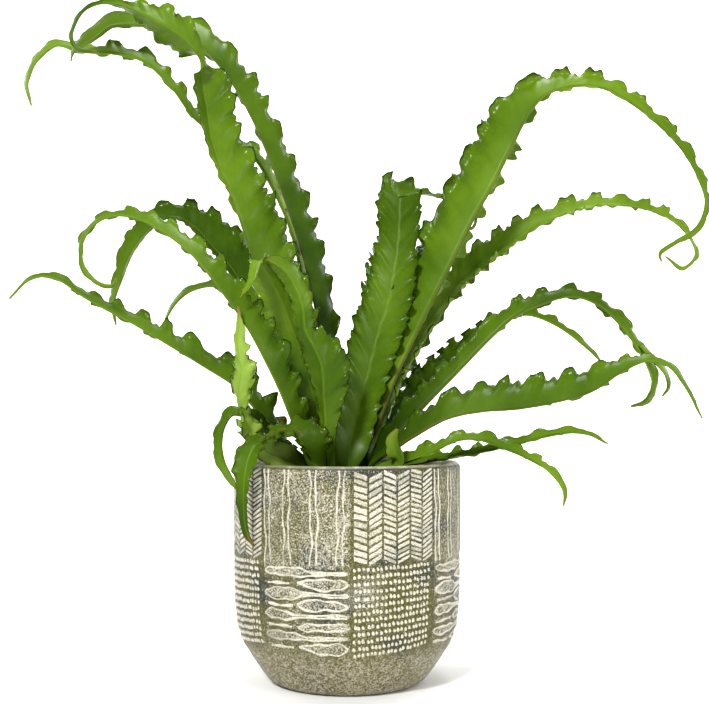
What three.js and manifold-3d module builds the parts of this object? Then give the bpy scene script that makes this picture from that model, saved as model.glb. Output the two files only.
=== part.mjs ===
// Potted bird's nest fern with waved fronds.
// Millimetres, +Z up. The origin is the centre of the pot's flat base, and the front is -Y.
import * as THREE from 'three';
import { mergeVertices } from 'three/addons/utils/BufferGeometryUtils.js';
import Module from 'manifold-3d';

const wasm = await Module();
wasm.setup();

// Pot
const POT_HEIGHT = 136;
const POT_WALL = 6;
const POT_FLOOR = 8;
const POT_SIDES = 48;
// Height above the base and outer radius
const POT_OUTSIDE = [
  [0, 44.5],
  [2.5, 49],
  [7.5, 53],
  [15, 58.2],
  [25, 64.6],
  [36, 68],
  [50, 69.4],
  [70, 70],
  [POT_HEIGHT - 2.5, 70],
  [POT_HEIGHT, 68.6],
];
const LIP_ROUND = 2;

// Soil and crown
const CLEARANCE = 0.3;
const SOIL_TOP = 121;
const SOIL_SIDES = 32;
const CROWN_RADIUS = 27;
const CROWN_FLOOR = 110;
const CROWN_SIDES = 24;
// Radius and height of the crown's rounded top
const CROWN_TOP = [
  [CROWN_RADIUS, 118],
  [21, 122.5],
  [11, 126],
  [0, 127],
];

// Blades
const STIPE_WIDTH = 5;
const STIPE_THICKNESS = 2.6;
const STIPE_STRAIGHT = 0.65;
const BLADE_THICKNESS = 0.9;
const RIB_THICKNESS = 1.9;
const TIP_RIB_THICKNESS = 1.1;
const BLADE_STARTS = 14;
const BLADE_FULL = 45;
const FOLD_DEGREES = 26;
// Each margin goes in and out by this share of the blade's width, over this length
const WAVE_SHARE = 0.17;
const WAVE_LENGTH = 26;
const WAVE_DRIFT = 0.8;
const WAVE_DRIFT_LENGTH = 97;
const WAVES_START = 25;
const WAVES_FULL = 80;
const SCALLOP_SHARE = 0.1;
// How far the inner lines between rib and margin take part in the wave
const INNER_LINE = 0.52;
const INNER_WAVE = 0.25;
// A margin that a frond calls smooth has this share of the wave
const SMOOTH_SHARE = 0.3;
// Lines along a blade: the margins, the rib and, where it is broad, one between each pair
const NARROW_BLADE = 17;
const BROAD_LINES = [-1, -INNER_LINE, 0, INNER_LINE, 1];
const NARROW_LINES = [-1, 0, 1];
// Stations along a blade: one for this length, and one for this much bending
const STATION_PITCH = 9.6;
const STATION_BEND = 0.75;
const ROUTE_SAMPLES = 24;

const COLOURS = {
  glaze: 0xcdc6b6,
  soil: 0x3a2a1e,
  crown: 0x4a3a24,
  lit: 0x588723,
  deep: 0x3f6a18,
  pale: 0x87a83c,
};

// Every frond leaves the crown, arches towards "out" (degrees counterclockwise from +X, seen
// from above) and follows a route of [x, y, z, width, lean]. The upper face looks at the middle
// of the plant and then up, and "lean" turns it towards the front, in degrees.
const FRONDS = {
  frond_left_tall: {
    out: 180,
    wave: 0.4,
    colour: 'lit',
    route: [
      [-1, 6, 115, 5, 10],
      [-7, 10, 133, 6, 20],
      [-10, 18, 174, 12, 40],
      [-13, 26, 223, 18, 45],
      [-20, 30, 260, 21, 45],
      [-30, 33, 295, 22, 45],
      [-42, 35, 328, 22, 45],
      [-57, 37, 363, 22, 45],
      [-73, 38, 391, 24, 45],
      [-92, 38, 412, 24, 45],
      [-113, 38, 426, 22, 45],
      [-136, 38, 430, 20, 40],
      [-157, 38, 427, 17, 40],
      [-173, 38, 416, 10, 40],
      [-182, 38, 406, 6, 30],
      [-182, 38, 397, 2.5, 20],
    ],
  },
  frond_left_far: {
    out: 180,
    wave: 1.7,
    colour: 'pale',
    route: [
      [-7, 13, 115, 5, 10],
      [-14, 20, 136, 6, 20],
      [-19, 34, 187, 10, 30],
      [-25, 50, 241, 14, 30],
      [-33, 58, 284, 16, 30],
      [-43, 60, 310, 16, 30],
      [-60, 62, 340, 15, 35],
      [-76, 62, 352, 13, 35],
      [-99, 62, 365, 13, 35],
      [-116, 60, 387, 12, 40],
      [-136, 58, 406, 14, 45],
      [-157, 56, 411, 15, 45],
      [-178, 54, 411, 12, 45],
      [-195, 52, 414, 8, 40],
      [-208, 50, 403, 5, 40],
      [-214, 48, 386, 4, 30],
      [-210, 46, 370, 2, 30],
    ],
  },
  frond_left_broad: {
    out: 180,
    wave: 3.1,
    colour: 'lit',
    route: [
      [-6, -1, 115, 5, 10],
      [-9, -3, 135, 8, 20],
      [-14, -5, 162, 16, 30],
      [-20, -6, 191, 24, 40],
      [-29, -6, 222, 30, 48],
      [-39, -6, 247, 34, 55],
      [-50, -6, 273, 36, 55],
      [-60, -6, 298, 36, 55],
      [-70, -7, 319, 36, 55],
      [-78, -8, 338, 34, 55],
      [-82, -8, 359, 32, 52],
      [-85, -9, 382, 30, 50],
      [-95, -9, 400, 28, 45],
      [-113, -10, 411, 24, 40],
      [-134, -11, 418, 14, 35],
      [-152, -12, 421, 7, 30],
      [-166, -12, 414, 6, 30],
      [-172, -12, 401, 5, 30],
      [-167, -12, 391, 4, 30],
      [-150, -13, 389, 2, 30],
    ],
  },
  frond_left_lobed: {
    out: 180,
    wave: 4.4,
    colour: 'deep',
    route: [
      [-13, 5, 115, 5, 10],
      [-18, 14, 135, 7, 15],
      [-28, 24, 171, 14, 30],
      [-43, 32, 209, 22, 40],
      [-58, 36, 242, 30, 50],
      [-70, 38, 265, 34, 55],
      [-84, 38, 281, 34, 55],
      [-97, 38, 293, 28, 55],
      [-111, 38, 299, 22, 50],
      [-124, 37, 297, 18, 48],
      [-136, 36, 288, 18, 48],
      [-146, 35, 273, 13, 45],
      [-151, 34, 255, 9, 40],
      [-154, 33, 238, 6, 30],
      [-151, 32, 223, 2.5, 30],
    ],
  },
  frond_left_spiral: {
    out: 180,
    wave: 5.2,
    colour: 'lit',
    route: [
      [-13, -7, 115, 5, 10],
      [-19, -14, 134, 7, 15],
      [-23, -27, 153, 14, 25],
      [-30, -43, 176, 21, 40],
      [-38, -53, 199, 26, 50],
      [-51, -55, 222, 25, 50],
      [-66, -54, 242, 23, 50],
      [-85, -49, 263, 20, 45],
      [-104, -44, 277, 17, 45],
      [-122, -40, 285, 13, 45],
      [-139, -38, 285, 8, 40],
      [-152, -36, 278, 7, 40],
      [-159, -35, 265, 6, 40],
      [-157, -34, 252, 5, 40],
      [-148, -34, 243, 4, 40],
      [-140, -33, 242, 3, 35],
      [-137, -33, 247, 2, 35],
    ],
  },
  frond_left_low: {
    out: 180,
    wave: 0.9,
    colour: 'lit',
    route: [
      [-20, 2, 115, 5, 10],
      [-24, 0, 127, 5, 12],
      [-31, -5, 137, 6, 15],
      [-38, -8, 147, 11, 20],
      [-49, -11, 167, 16, 35],
      [-64, -13, 186, 18, 45],
      [-84, -14, 199, 18, 45],
      [-105, -14, 211, 16, 45],
      [-127, -14, 223, 13, 45],
      [-148, -14, 233, 10, 45],
      [-162, -14, 240, 7, 45],
      [-174, -14, 248, 6, 45],
      [-186, -14, 251, 5, 45],
      [-197, -14, 247, 4, 40],
      [-207, -14, 236, 2, 40],
    ],
  },
  frond_left_thin: {
    out: 180,
    wave: 2.2,
    colour: 'deep',
    route: [
      [-17, 13, 115, 5, 10],
      [-20, 18, 127, 5, 12],
      [-27, 30, 146, 6, 20],
      [-48, 50, 194, 9, 30],
      [-62, 62, 235, 11, 35],
      [-73, 66, 249, 11, 35],
      [-86, 68, 254, 10, 35],
      [-97, 69, 254, 10, 35],
      [-109, 70, 250, 9, 35],
      [-118, 70, 242, 7, 35],
      [-126, 70, 227, 2, 35],
    ],
  },
  frond_front_broad: {
    out: 225,
    wave: 1.2,
    colour: 'lit',
    route: [
      [-3, -14, 115, 5, 0],
      [-8, -22, 134, 8, -30],
      [-10, -29, 151, 11, -35],
      [-11, -31, 171, 19, -42],
      [-15, -34, 189, 27, -45],
      [-20, -35, 205, 26, -45],
      [-24, -36, 220, 17, -45],
      [-26, -37, 232, 15, -40],
      [-28, -38, 241, 8, -30],
      [-29, -38, 246, 3, -20],
    ],
  },
  frond_front_second: {
    out: 225,
    wave: 3.5,
    colour: 'deep',
    route: [
      [-11, -13, 115, 5, 0],
      [-11, -13, 134, 7, -30],
      [-15, -15, 152, 13, -35],
      [-23, -19, 178, 24, -42],
      [-30, -22, 205, 34, -45],
      [-35, -24, 221, 38, -45],
      [-41, -27, 235, 38, -42],
      [-46, -32, 247, 32, -35],
      [-50, -38, 255, 20, -15],
      [-52, -46, 257, 12, 0],
      [-53, -56, 252, 9, 10],
      [-54, -61, 245, 7, 10],
      [-57, -64, 238, 5, 10],
      [-61, -65, 232, 2, 10],
    ],
  },
  frond_front_twisted: {
    out: 180,
    wave: 2.9,
    colour: 'pale',
    route: [
      [-16, -14, 115, 5, 10],
      [-19, -17, 127, 5, 15],
      [-33, -29, 132, 6, 30],
      [-47, -37, 138, 9, 60],
      [-53, -42, 146, 13, 70],
      [-56, -46, 156, 16, 75],
      [-60, -50, 169, 8, 10],
      [-61, -54, 178, 12, -60],
      [-59, -58, 193, 11, -70],
      [-60, -62, 210, 6, -70],
      [-62, -64, 226, 2, -60],
    ],
  },
  frond_front_hanging: {
    out: 200,
    wave: 4.0,
    colour: 'lit',
    route: [
      [-11, -20, 115, 5, 10],
      [-12, -22, 127, 5, 20],
      [-18, -36, 137, 14, 50],
      [-25, -46, 149, 24, 60],
      [-34, -50, 153, 22, 50],
      [-45, -51, 149, 15, 45],
      [-52, -54, 142, 12, 45],
      [-57, -56, 134, 9, 50],
      [-60, -57, 124, 9, 60],
      [-60, -56, 110, 8, 60],
      [-58, -55, 97, 4, 60],
      [-54, -55, 91, 2, 60],
    ],
  },
  frond_side_arched: {
    out: 180,
    wave: 0.2,
    colour: 'pale',
    route: [
      [-20, -8, 115, 5, 10],
      [-23, -11, 127, 5, 12],
      [-36, -21, 143, 6, 20],
      [-49, -27, 158, 9, 35],
      [-60, -31, 166, 10, 40],
      [-69, -33, 167, 10, 40],
      [-75, -34, 159, 10, 40],
      [-77, -35, 147, 10, 45],
      [-75, -36, 137, 9, 45],
      [-70, -38, 128, 7, 45],
      [-64, -40, 120, 3, 45],
    ],
  },
  frond_centre_broad: {
    out: 0,
    wave: 5.6,
    colour: 'lit',
    route: [
      [1, -7, 115, 5, 90],
      [1, -8, 134, 9, 90],
      [2, -8, 146, 19, 90],
      [7, -7, 169, 26, 88],
      [13, -5, 194, 34, 86],
      [19, -3, 218, 38, 85],
      [25, -1, 236, 37, 85],
      [29, 2, 257, 35, 85],
      [32, 7, 277, 31, 85],
      [33, 12, 296, 28, 82],
      [35, 16, 309, 22, 70],
      [43, 25, 313, 12, 40],
      [54, 33, 310, 8, 30],
      [68, 39, 307, 6, 30],
      [82, 44, 303, 5, 30],
      [86, 45, 294, 4, 30],
      [83, 45, 288, 3, 30],
      [78, 45, 289, 2, 30],
    ],
  },
  frond_right_tall: {
    out: 0,
    wave: 2.5,
    colour: 'lit',
    route: [
      [6, 2, 115, 5, 10],
      [6, 3, 133, 7, 20],
      [12, 4, 155, 16, 35],
      [20, 5, 186, 28, 42],
      [34, 6, 222, 34, 48],
      [50, 6, 256, 36, 50],
      [66, 7, 288, 36, 50],
      [82, 9, 316, 36, 50],
      [96, 10, 342, 34, 50],
      [108, 11, 361, 32, 50],
      [123, 12, 373, 26, 45],
      [142, 13, 378, 20, 45],
      [163, 12, 376, 17, 45],
      [181, 11, 366, 15, 45],
      [199, 10, 351, 13, 45],
      [214, 9, 334, 11, 45],
      [224, 8, 315, 9, 45],
      [228, 7, 297, 7, 45],
      [221, 6, 282, 6, 40],
      [207, 5, 273, 5, 40],
      [197, 4, 266, 3.5, 40],
      [198, 4, 261, 2, 40],
    ],
  },
  frond_right_second: {
    out: 0,
    wave: 3.7,
    colour: 'deep',
    route: [
      [12, 8, 115, 5, 10],
      [16, 14, 139, 7, 20],
      [25, 24, 174, 16, 35],
      [40, 32, 207, 20, 42],
      [59, 36, 240, 22, 48],
      [78, 38, 261, 22, 48],
      [99, 39, 277, 20, 48],
      [123, 40, 293, 16, 48],
      [146, 40, 302, 14, 45],
      [169, 40, 306, 12, 45],
      [192, 40, 304, 11, 45],
      [212, 40, 297, 10, 45],
      [226, 40, 284, 7, 40],
      [231, 40, 270, 5, 40],
      [222, 40, 261, 4, 40],
      [210, 40, 269, 2, 40],
    ],
  },
  frond_right_arched: {
    out: 0,
    wave: 1.4,
    colour: 'lit',
    route: [
      [14, -3, 115, 5, 10],
      [15, -5, 133, 7, 20],
      [22, -6, 147, 13, 30],
      [33, -7, 161, 17, 38],
      [49, -8, 174, 19, 45],
      [70, -9, 195, 19, 48],
      [86, -9, 212, 19, 48],
      [102, -9, 227, 17, 48],
      [120, -9, 238, 15, 48],
      [140, -9, 242, 13, 48],
      [159, -8, 236, 13, 48],
      [175, -6, 221, 13, 48],
      [186, -3, 204, 11, 45],
      [193, 0, 187, 8, 45],
      [188, 2, 173, 6, 40],
      [178, 3, 170, 3, 40],
    ],
    fork: [
      [183, -4, 208, 6, 45],
      [189, -8, 200, 6, 45],
      [196, -11, 191, 6, 40],
      [198, -12, 182, 4, 35],
      [194, -12, 176, 2, 30],
    ],
  },
  frond_right_low: {
    out: 0,
    smooth: -1,
    wave: 0.6,
    colour: 'lit',
    route: [
      [9, -13, 115, 5, 10],
      [15, -19, 135, 8, 15],
      [25, -25, 144, 14, 20],
      [39, -30, 155, 20, 30],
      [58, -33, 167, 24, 38],
      [79, -34, 173, 26, 45],
      [100, -35, 177, 26, 48],
      [121, -35, 180, 24, 48],
      [142, -35, 185, 21, 48],
      [161, -34, 194, 14, 45],
      [178, -33, 199, 8, 40],
      [191, -33, 196, 6, 40],
      [201, -33, 185, 5, 40],
      [212, -33, 163, 2, 40],
    ],
  },
  frond_right_back: {
    out: 0,
    wave: 4.9,
    colour: 'deep',
    route: [
      [15, 15, 115, 5, 10],
      [18, 27, 148, 6, 20],
      [30, 35, 171, 10, 30],
      [45, 40, 189, 12, 38],
      [62, 44, 203, 13, 42],
      [84, 47, 217, 12, 45],
      [105, 49, 231, 11, 45],
      [122, 50, 233, 9, 45],
      [142, 50, 225, 8, 45],
      [161, 50, 210, 6, 40],
      [172, 50, 198, 2, 40],
    ],
  },
  frond_front_right: {
    out: 0,
    wave: 3.3,
    colour: 'pale',
    route: [
      [15, -16, 115, 5, 10],
      [17, -19, 127, 5, 12],
      [25, -32, 135, 6, 20],
      [37, -43, 141, 8, 30],
      [50, -48, 146, 8, 40],
      [63, -50, 152, 8, 45],
      [76, -51, 153, 9, 45],
      [91, -51, 148, 9, 45],
      [105, -51, 142, 8, 45],
      [119, -50, 133, 7, 45],
      [127, -50, 121, 5, 45],
      [126, -50, 112, 2, 40],
    ],
  },
  frond_front_right_low: {
    out: 0,
    wave: 2.0,
    colour: 'pale',
    route: [
      [20, -9, 115, 5, 10],
      [23, -11, 127, 5, 12],
      [34, -21, 135, 6, 20],
      [50, -29, 140, 7, 25],
      [64, -35, 142, 8, 30],
      [80, -39, 145, 9, 40],
      [97, -41, 149, 9, 45],
      [117, -41, 154, 8, 45],
      [133, -41, 156, 6, 45],
      [144, -41, 154, 4, 40],
      [154, -41, 148, 2, 40],
    ],
  },
  frond_front_small: {
    out: 0,
    wave: 0,
    colour: 'pale',
    route: [
      [9, -20, 115, 4, 30],
      [11, -22, 127, 4, 35],
      [19, -36, 132, 4, 40],
      [29, -50, 138, 6, 50],
      [27, -53, 145, 7, 60],
      [26, -54, 151, 6, 60],
      [29, -54, 157, 2, 60],
    ],
  },
  frond_back_middle: {
    out: 80,
    wave: 1.0,
    colour: 'deep',
    route: [
      [4, 13, 115, 5, 0],
      [7, 24, 140, 8, 0],
      [12, 42, 185, 20, 0],
      [19, 70, 235, 26, 0],
      [26, 110, 275, 24, 0],
      [31, 150, 285, 18, 0],
      [35, 182, 268, 9, 0],
      [37, 196, 245, 3, 0],
    ],
  },
  frond_back_left: {
    out: 115,
    wave: 2.4,
    colour: 'lit',
    route: [
      [-5, 21, 115, 5, 0],
      [-10, 33, 140, 8, 0],
      [-20, 56, 180, 18, 0],
      [-34, 92, 222, 22, 0],
      [-48, 130, 244, 18, 0],
      [-56, 162, 240, 10, 0],
      [-60, 180, 224, 3, 0],
    ],
  },
  frond_back_right: {
    out: 70,
    wave: 5.0,
    colour: 'lit',
    route: [
      [9, 21, 115, 5, 0],
      [11, 25, 127, 5, 0],
      [16, 38, 150, 8, 0],
      [24, 60, 185, 18, 0],
      [36, 100, 232, 22, 0],
      [46, 140, 250, 17, 0],
      [52, 168, 240, 9, 0],
      [55, 184, 222, 3, 0],
    ],
  },
};

// A closed geometry with shared corners and no triangle of zero size
function welded(geometry) {
  const bare = geometry.clone();
  bare.deleteAttribute('normal');
  bare.deleteAttribute('uv');
  const merged = mergeVertices(bare, 1e-4);
  const index = Array.from(merged.index.array);
  const kept = [];
  for (let i = 0; i < index.length; i += 3) {
    const [a, b, c] = index.slice(i, i + 3);
    if (a !== b && b !== c && c !== a) kept.push(a, b, c);
  }
  merged.setIndex(kept);
  return merged;
}

function toSolid(geometry) {
  const closed = welded(geometry);
  return new wasm.Manifold(new wasm.Mesh({
    numProp: 3,
    vertProperties: new Float32Array(closed.attributes.position.array),
    triVerts: new Uint32Array(closed.index.array),
  }));
}

function toGeometry(solid) {
  const mesh = solid.getMesh();
  const geometry = new THREE.BufferGeometry();
  geometry.setAttribute('position', new THREE.BufferAttribute(new Float32Array(mesh.vertProperties), 3));
  geometry.setIndex(new THREE.BufferAttribute(new Uint32Array(mesh.triVerts), 1));
  return geometry;
}

// A solid of revolution about +Z from [radius, height] pairs, listed from the bottom outwards
function turned(profile, sides) {
  const outline = profile.map(([radius, height]) => new THREE.Vector2(radius, height));
  return new THREE.LatheGeometry(outline, sides).rotateX(Math.PI / 2);
}

function outerRadius(height) {
  for (let i = 1; i < POT_OUTSIDE.length; i += 1) {
    const [lowZ, lowR] = POT_OUTSIDE[i - 1];
    const [highZ, highR] = POT_OUTSIDE[i];
    if (height <= highZ) return lowR + ((highR - lowR) * (height - lowZ)) / (highZ - lowZ);
  }
  return POT_OUTSIDE.at(-1)[1];
}

const innerRadius = (height) => outerRadius(height) - POT_WALL;
const INSIDE_HEIGHTS = [POT_FLOOR, 25, 50];

function pot() {
  const outside = POT_OUTSIDE.map(([height, radius]) => [radius, height]);
  const lip = [[innerRadius(POT_HEIGHT - LIP_ROUND) + LIP_ROUND, POT_HEIGHT],
    [innerRadius(POT_HEIGHT - 2 * LIP_ROUND), POT_HEIGHT - LIP_ROUND]];
  const inside = [...INSIDE_HEIGHTS].reverse().map((height) => [innerRadius(height), height]);
  return turned([[0, 0], ...outside, ...lip, ...inside, [0, POT_FLOOR]], POT_SIDES);
}

// Potting mix that fills the pot, with a round seat for the crown
function soil() {
  const seat = CROWN_RADIUS + CLEARANCE;
  const walls = INSIDE_HEIGHTS.map((height) => [innerRadius(height) - 2 * CLEARANCE, height + CLEARANCE]);
  return turned([
    [0, POT_FLOOR + CLEARANCE],
    ...walls,
    [innerRadius(SOIL_TOP) - 2 * CLEARANCE, SOIL_TOP - 1.5],
    [innerRadius(SOIL_TOP) - 5, SOIL_TOP],
    [seat, SOIL_TOP],
    [seat, CROWN_FLOOR - CLEARANCE],
    [0, CROWN_FLOOR - CLEARANCE],
  ], SOIL_SIDES);
}

// Smooth values through rows of numbers, at a place counted in rows
function valueAt(values, place) {
  const last = values.length - 1;
  const i = Math.min(Math.floor(place), last - 1);
  const f = place - i;
  const before = values[Math.max(i - 1, 0)];
  const start = values[i];
  const end = values[i + 1];
  const after = values[Math.min(i + 2, last)];
  const slopeIn = (end - before) / 2;
  const slopeOut = (after - start) / 2;
  const f2 = f * f;
  const f3 = f2 * f;
  return (2 * f3 - 3 * f2 + 1) * start + (f3 - 2 * f2 + f) * slopeIn
    + (3 * f2 - 2 * f3) * end + (f3 - f2) * slopeOut;
}

// The route with a straight stretch where the stipe stands in the crown
function withCollar(route) {
  const [root, next] = route;
  const collar = root.map((value, i) => value + STIPE_STRAIGHT * (next[i] - value));
  collar[3] = root[3];
  collar[4] = root[4];
  return [root, collar, ...route.slice(1)];
}

// Places along the rib, closer together where it bends
function stationsAlong(curve, rows) {
  const count = (rows - 1) * ROUTE_SAMPLES;
  const samples = [];
  let along = 0;
  let measure = 0;
  let previous = null;
  for (let i = 0; i <= count; i += 1) {
    const point = curve.getPoint(i / count);
    const heading = curve.getTangent(i / count);
    if (previous) {
      const step = point.distanceTo(previous.point);
      along += step;
      measure += step / STATION_PITCH + heading.angleTo(previous.heading) / STATION_BEND;
    }
    previous = { point, heading };
    samples.push({ t: i / count, along, measure });
  }
  const total = Math.max(3, Math.ceil(measure));
  const stations = [];
  let k = 0;
  for (let i = 0; i <= total; i += 1) {
    const wanted = (measure * i) / total;
    while (k < samples.length - 2 && samples[k + 1].measure < wanted) k += 1;
    const low = samples[k];
    const high = samples[k + 1];
    const f = (wanted - low.measure) / (high.measure - low.measure || 1);
    stations.push({
      t: Math.min(1, low.t + f * (high.t - low.t)),
      along: low.along + f * (high.along - low.along),
    });
  }
  return { stations, length: along };
}

// The rib's point, heading, side and upper normal at each station
function framesAlong(frond, route) {
  const curve = new THREE.CatmullRomCurve3(
    route.map(([x, y, z]) => new THREE.Vector3(x, y, z)),
    false,
    'centripetal',
  );
  const out = THREE.MathUtils.degToRad(frond.out);
  const across = new THREE.Vector3(-Math.sin(out), Math.cos(out), 0);
  const leanSign = Math.cos(out) < 0 ? -1 : 1;
  const widths = route.map((row) => row[3]);
  const leans = route.map((row) => row[4]);
  const { stations, length } = stationsAlong(curve, route.length);
  const frames = stations.map(({ t, along }) => {
    const place = t * (route.length - 1);
    const heading = curve.getTangent(t);
    const side = across.clone().addScaledVector(heading, -across.dot(heading)).normalize();
    const lean = THREE.MathUtils.degToRad(valueAt(leans, place)) * leanSign;
    side.applyAxisAngle(heading, lean);
    const upper = heading.clone().cross(side);
    const width = Math.max(1.2, valueAt(widths, place));
    return { point: curve.getPoint(t), heading, side, upper, width, along };
  });
  return { frames, length };
}

// One point of the blade's middle surface. The route runs halfway between the two margins, and
// the rib lies below it by the depth of the fold.
function bladePoint(frond, frame, offset) {
  const { smoothstep } = THREE.MathUtils;
  const { point, side, upper, width, along } = frame;
  const fold = THREE.MathUtils.degToRad(FOLD_DEGREES) * smoothstep(along, BLADE_STARTS, BLADE_FULL);
  const drift = WAVE_DRIFT * Math.sin((2 * Math.PI * along) / WAVE_DRIFT_LENGTH + frond.wave);
  const turn = (2 * Math.PI * along) / WAVE_LENGTH + drift + frond.wave + (offset > 0 ? 2.1 : 0);
  const waves = smoothstep(along, WAVES_START, WAVES_FULL);
  const smooth = offset * (frond.smooth ?? 0) > 0 ? SMOOTH_SHARE : 1;
  const share = smooth * (Math.abs(offset) === 1 ? 1 : INNER_WAVE);
  const lift = offset === 0 ? 0 : WAVE_SHARE * width * waves * share * Math.sin(turn);
  const reach = (offset * width * (1 + SCALLOP_SHARE * waves * Math.cos(turn))) / 2;
  const sink = ((Math.abs(offset) - 1) * width * Math.sin(fold)) / 2;
  return point.clone()
    .addScaledVector(side, reach * Math.cos(fold))
    .addScaledVector(upper, sink + lift);
}

// The blade's middle surface, moved out along its own normals to an upper and a lower face
function bladeGeometry(frond, route, isFork) {
  const { frames, length } = framesAlong(frond, route);
  const { smoothstep, lerp } = THREE.MathUtils;
  const broad = Math.max(...route.map((row) => row[3])) >= NARROW_BLADE;
  const lines = broad ? BROAD_LINES : NARROW_LINES;
  const grid = frames.map((frame) => lines.map((offset) => bladePoint(frond, frame, offset)));
  const rows = grid.length;
  const columns = lines.length;
  const positions = [];
  for (let i = 0; i < rows; i += 1) {
    const stem = isFork ? 0 : 1 - smoothstep(frames[i].along, BLADE_STARTS, BLADE_FULL);
    const rib = lerp(RIB_THICKNESS, TIP_RIB_THICKNESS, frames[i].along / length);
    for (const face of [1, -1]) {
      for (let j = 0; j < columns; j += 1) {
        const forward = grid[Math.min(i + 1, rows - 1)][j].clone().sub(grid[Math.max(i - 1, 0)][j]);
        const sideways = grid[i][Math.min(j + 1, columns - 1)].clone().sub(grid[i][Math.max(j - 1, 0)]);
        const normal = forward.cross(sideways).normalize();
        const ribbed = face < 0 && lines[j] === 0 ? rib - BLADE_THICKNESS / 2 : BLADE_THICKNESS / 2;
        const depth = lerp(ribbed, STIPE_THICKNESS / 2, stem);
        positions.push(...grid[i][j].clone().addScaledVector(normal, face * depth).toArray());
      }
    }
  }
  const upper = (i, j) => i * 2 * columns + j;
  const lower = (i, j) => upper(i, j) + columns;
  const index = [];
  const quad = (a, b, c, d) => index.push(a, b, c, a, c, d);
  const end = columns - 1;
  for (let i = 0; i < rows - 1; i += 1) {
    for (let j = 0; j < end; j += 1) {
      quad(upper(i, j), upper(i + 1, j), upper(i + 1, j + 1), upper(i, j + 1));
      index.push(lower(i, j), lower(i + 1, j + 1), lower(i + 1, j));
      index.push(lower(i, j), lower(i, j + 1), lower(i + 1, j + 1));
    }
    quad(upper(i, 0), lower(i, 0), lower(i + 1, 0), upper(i + 1, 0));
    quad(lower(i, end), upper(i, end), upper(i + 1, end), lower(i + 1, end));
  }
  for (let j = 0; j < end; j += 1) {
    quad(upper(0, j), upper(0, j + 1), lower(0, j + 1), lower(0, j));
    quad(upper(rows - 1, j + 1), upper(rows - 1, j), lower(rows - 1, j), lower(rows - 1, j + 1));
  }
  const geometry = new THREE.BufferGeometry();
  geometry.setAttribute('position', new THREE.Float32BufferAttribute(positions, 3));
  geometry.setIndex(index);
  return geometry;
}

function frondGeometry(frond) {
  const blade = bladeGeometry(frond, withCollar(frond.route), false);
  if (!frond.fork) return blade;
  const fork = bladeGeometry(frond, frond.fork, true);
  return toGeometry(toSolid(blade).add(toSolid(fork)));
}

// A straight plain hole for a stipe, a little larger than the stipe all round
function socket(frond) {
  const { frames } = framesAlong(frond, withCollar(frond.route).slice(0, 2));
  const { point, heading, side } = frames[0];
  const length = point.distanceTo(frames.at(-1).point) + 6;
  const hole = new THREE.BoxGeometry(
    STIPE_WIDTH + 2 * CLEARANCE,
    STIPE_THICKNESS + 2 * CLEARANCE,
    length + CLEARANCE,
  );
  hole.translate(0, 0, (length - CLEARANCE) / 2);
  const upright = new THREE.Matrix4().makeBasis(side, heading.clone().cross(side), heading);
  return hole.applyMatrix4(upright.setPosition(point));
}

// The short upright rhizome, with a plain hole for each stipe
function crown(fronds) {
  const dome = turned([[0, CROWN_FLOOR], [CROWN_RADIUS, CROWN_FLOOR], ...CROWN_TOP], CROWN_SIDES);
  let solid = toSolid(dome);
  for (const frond of fronds) solid = solid.subtract(toSolid(socket(frond)));
  return toGeometry(solid);
}

function mesh(name, geometry, colour, roughness) {
  const material = new THREE.MeshStandardMaterial({ color: colour, roughness, metalness: 0 });
  const node = new THREE.Mesh(geometry, material);
  node.name = name;
  return node;
}

const plant = new THREE.Group();
plant.add(mesh('pot', pot(), COLOURS.glaze, 0.45));
plant.add(mesh('soil', soil(), COLOURS.soil, 0.95));
plant.add(mesh('crown', crown(Object.values(FRONDS)), COLOURS.crown, 0.9));
for (const [name, frond] of Object.entries(FRONDS)) {
  plant.add(mesh(name, frondGeometry(frond), COLOURS[frond.colour], 0.35));
}

export default plant;
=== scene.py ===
# Potted bird's nest fern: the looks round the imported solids.
# The frame is in metres. Routes and sizes below are in millimetres and are turned into metres by MM.
import math
import random

import bpy
import numpy as np
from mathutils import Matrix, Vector, noise


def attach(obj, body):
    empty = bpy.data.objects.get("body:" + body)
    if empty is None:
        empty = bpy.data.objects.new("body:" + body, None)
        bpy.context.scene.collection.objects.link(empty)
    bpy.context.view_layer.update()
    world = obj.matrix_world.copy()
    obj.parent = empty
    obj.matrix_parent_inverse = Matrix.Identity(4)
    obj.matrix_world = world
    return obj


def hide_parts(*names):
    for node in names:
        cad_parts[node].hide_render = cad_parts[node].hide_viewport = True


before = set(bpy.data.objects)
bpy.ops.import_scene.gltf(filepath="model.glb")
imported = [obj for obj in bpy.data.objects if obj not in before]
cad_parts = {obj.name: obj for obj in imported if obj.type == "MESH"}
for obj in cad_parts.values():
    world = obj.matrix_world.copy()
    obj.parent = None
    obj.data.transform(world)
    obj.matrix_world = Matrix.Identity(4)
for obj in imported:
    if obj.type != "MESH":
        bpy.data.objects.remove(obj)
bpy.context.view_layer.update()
scene = bpy.context.scene

MM = 0.001
SEED = 7

# Camera: level, at the height of the lower fronds, with the frame shifted up to the plant's middle
FRAME_WIDTH = 709
FOCAL_PIXELS = 1150
SENSOR_WIDTH = 36
CAMERA_PLACE = (0, -719, 170.6)
SHIFT_RIGHT_PIXELS = 7.5
SHIFT_UP_PIXELS = 53.5

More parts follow.
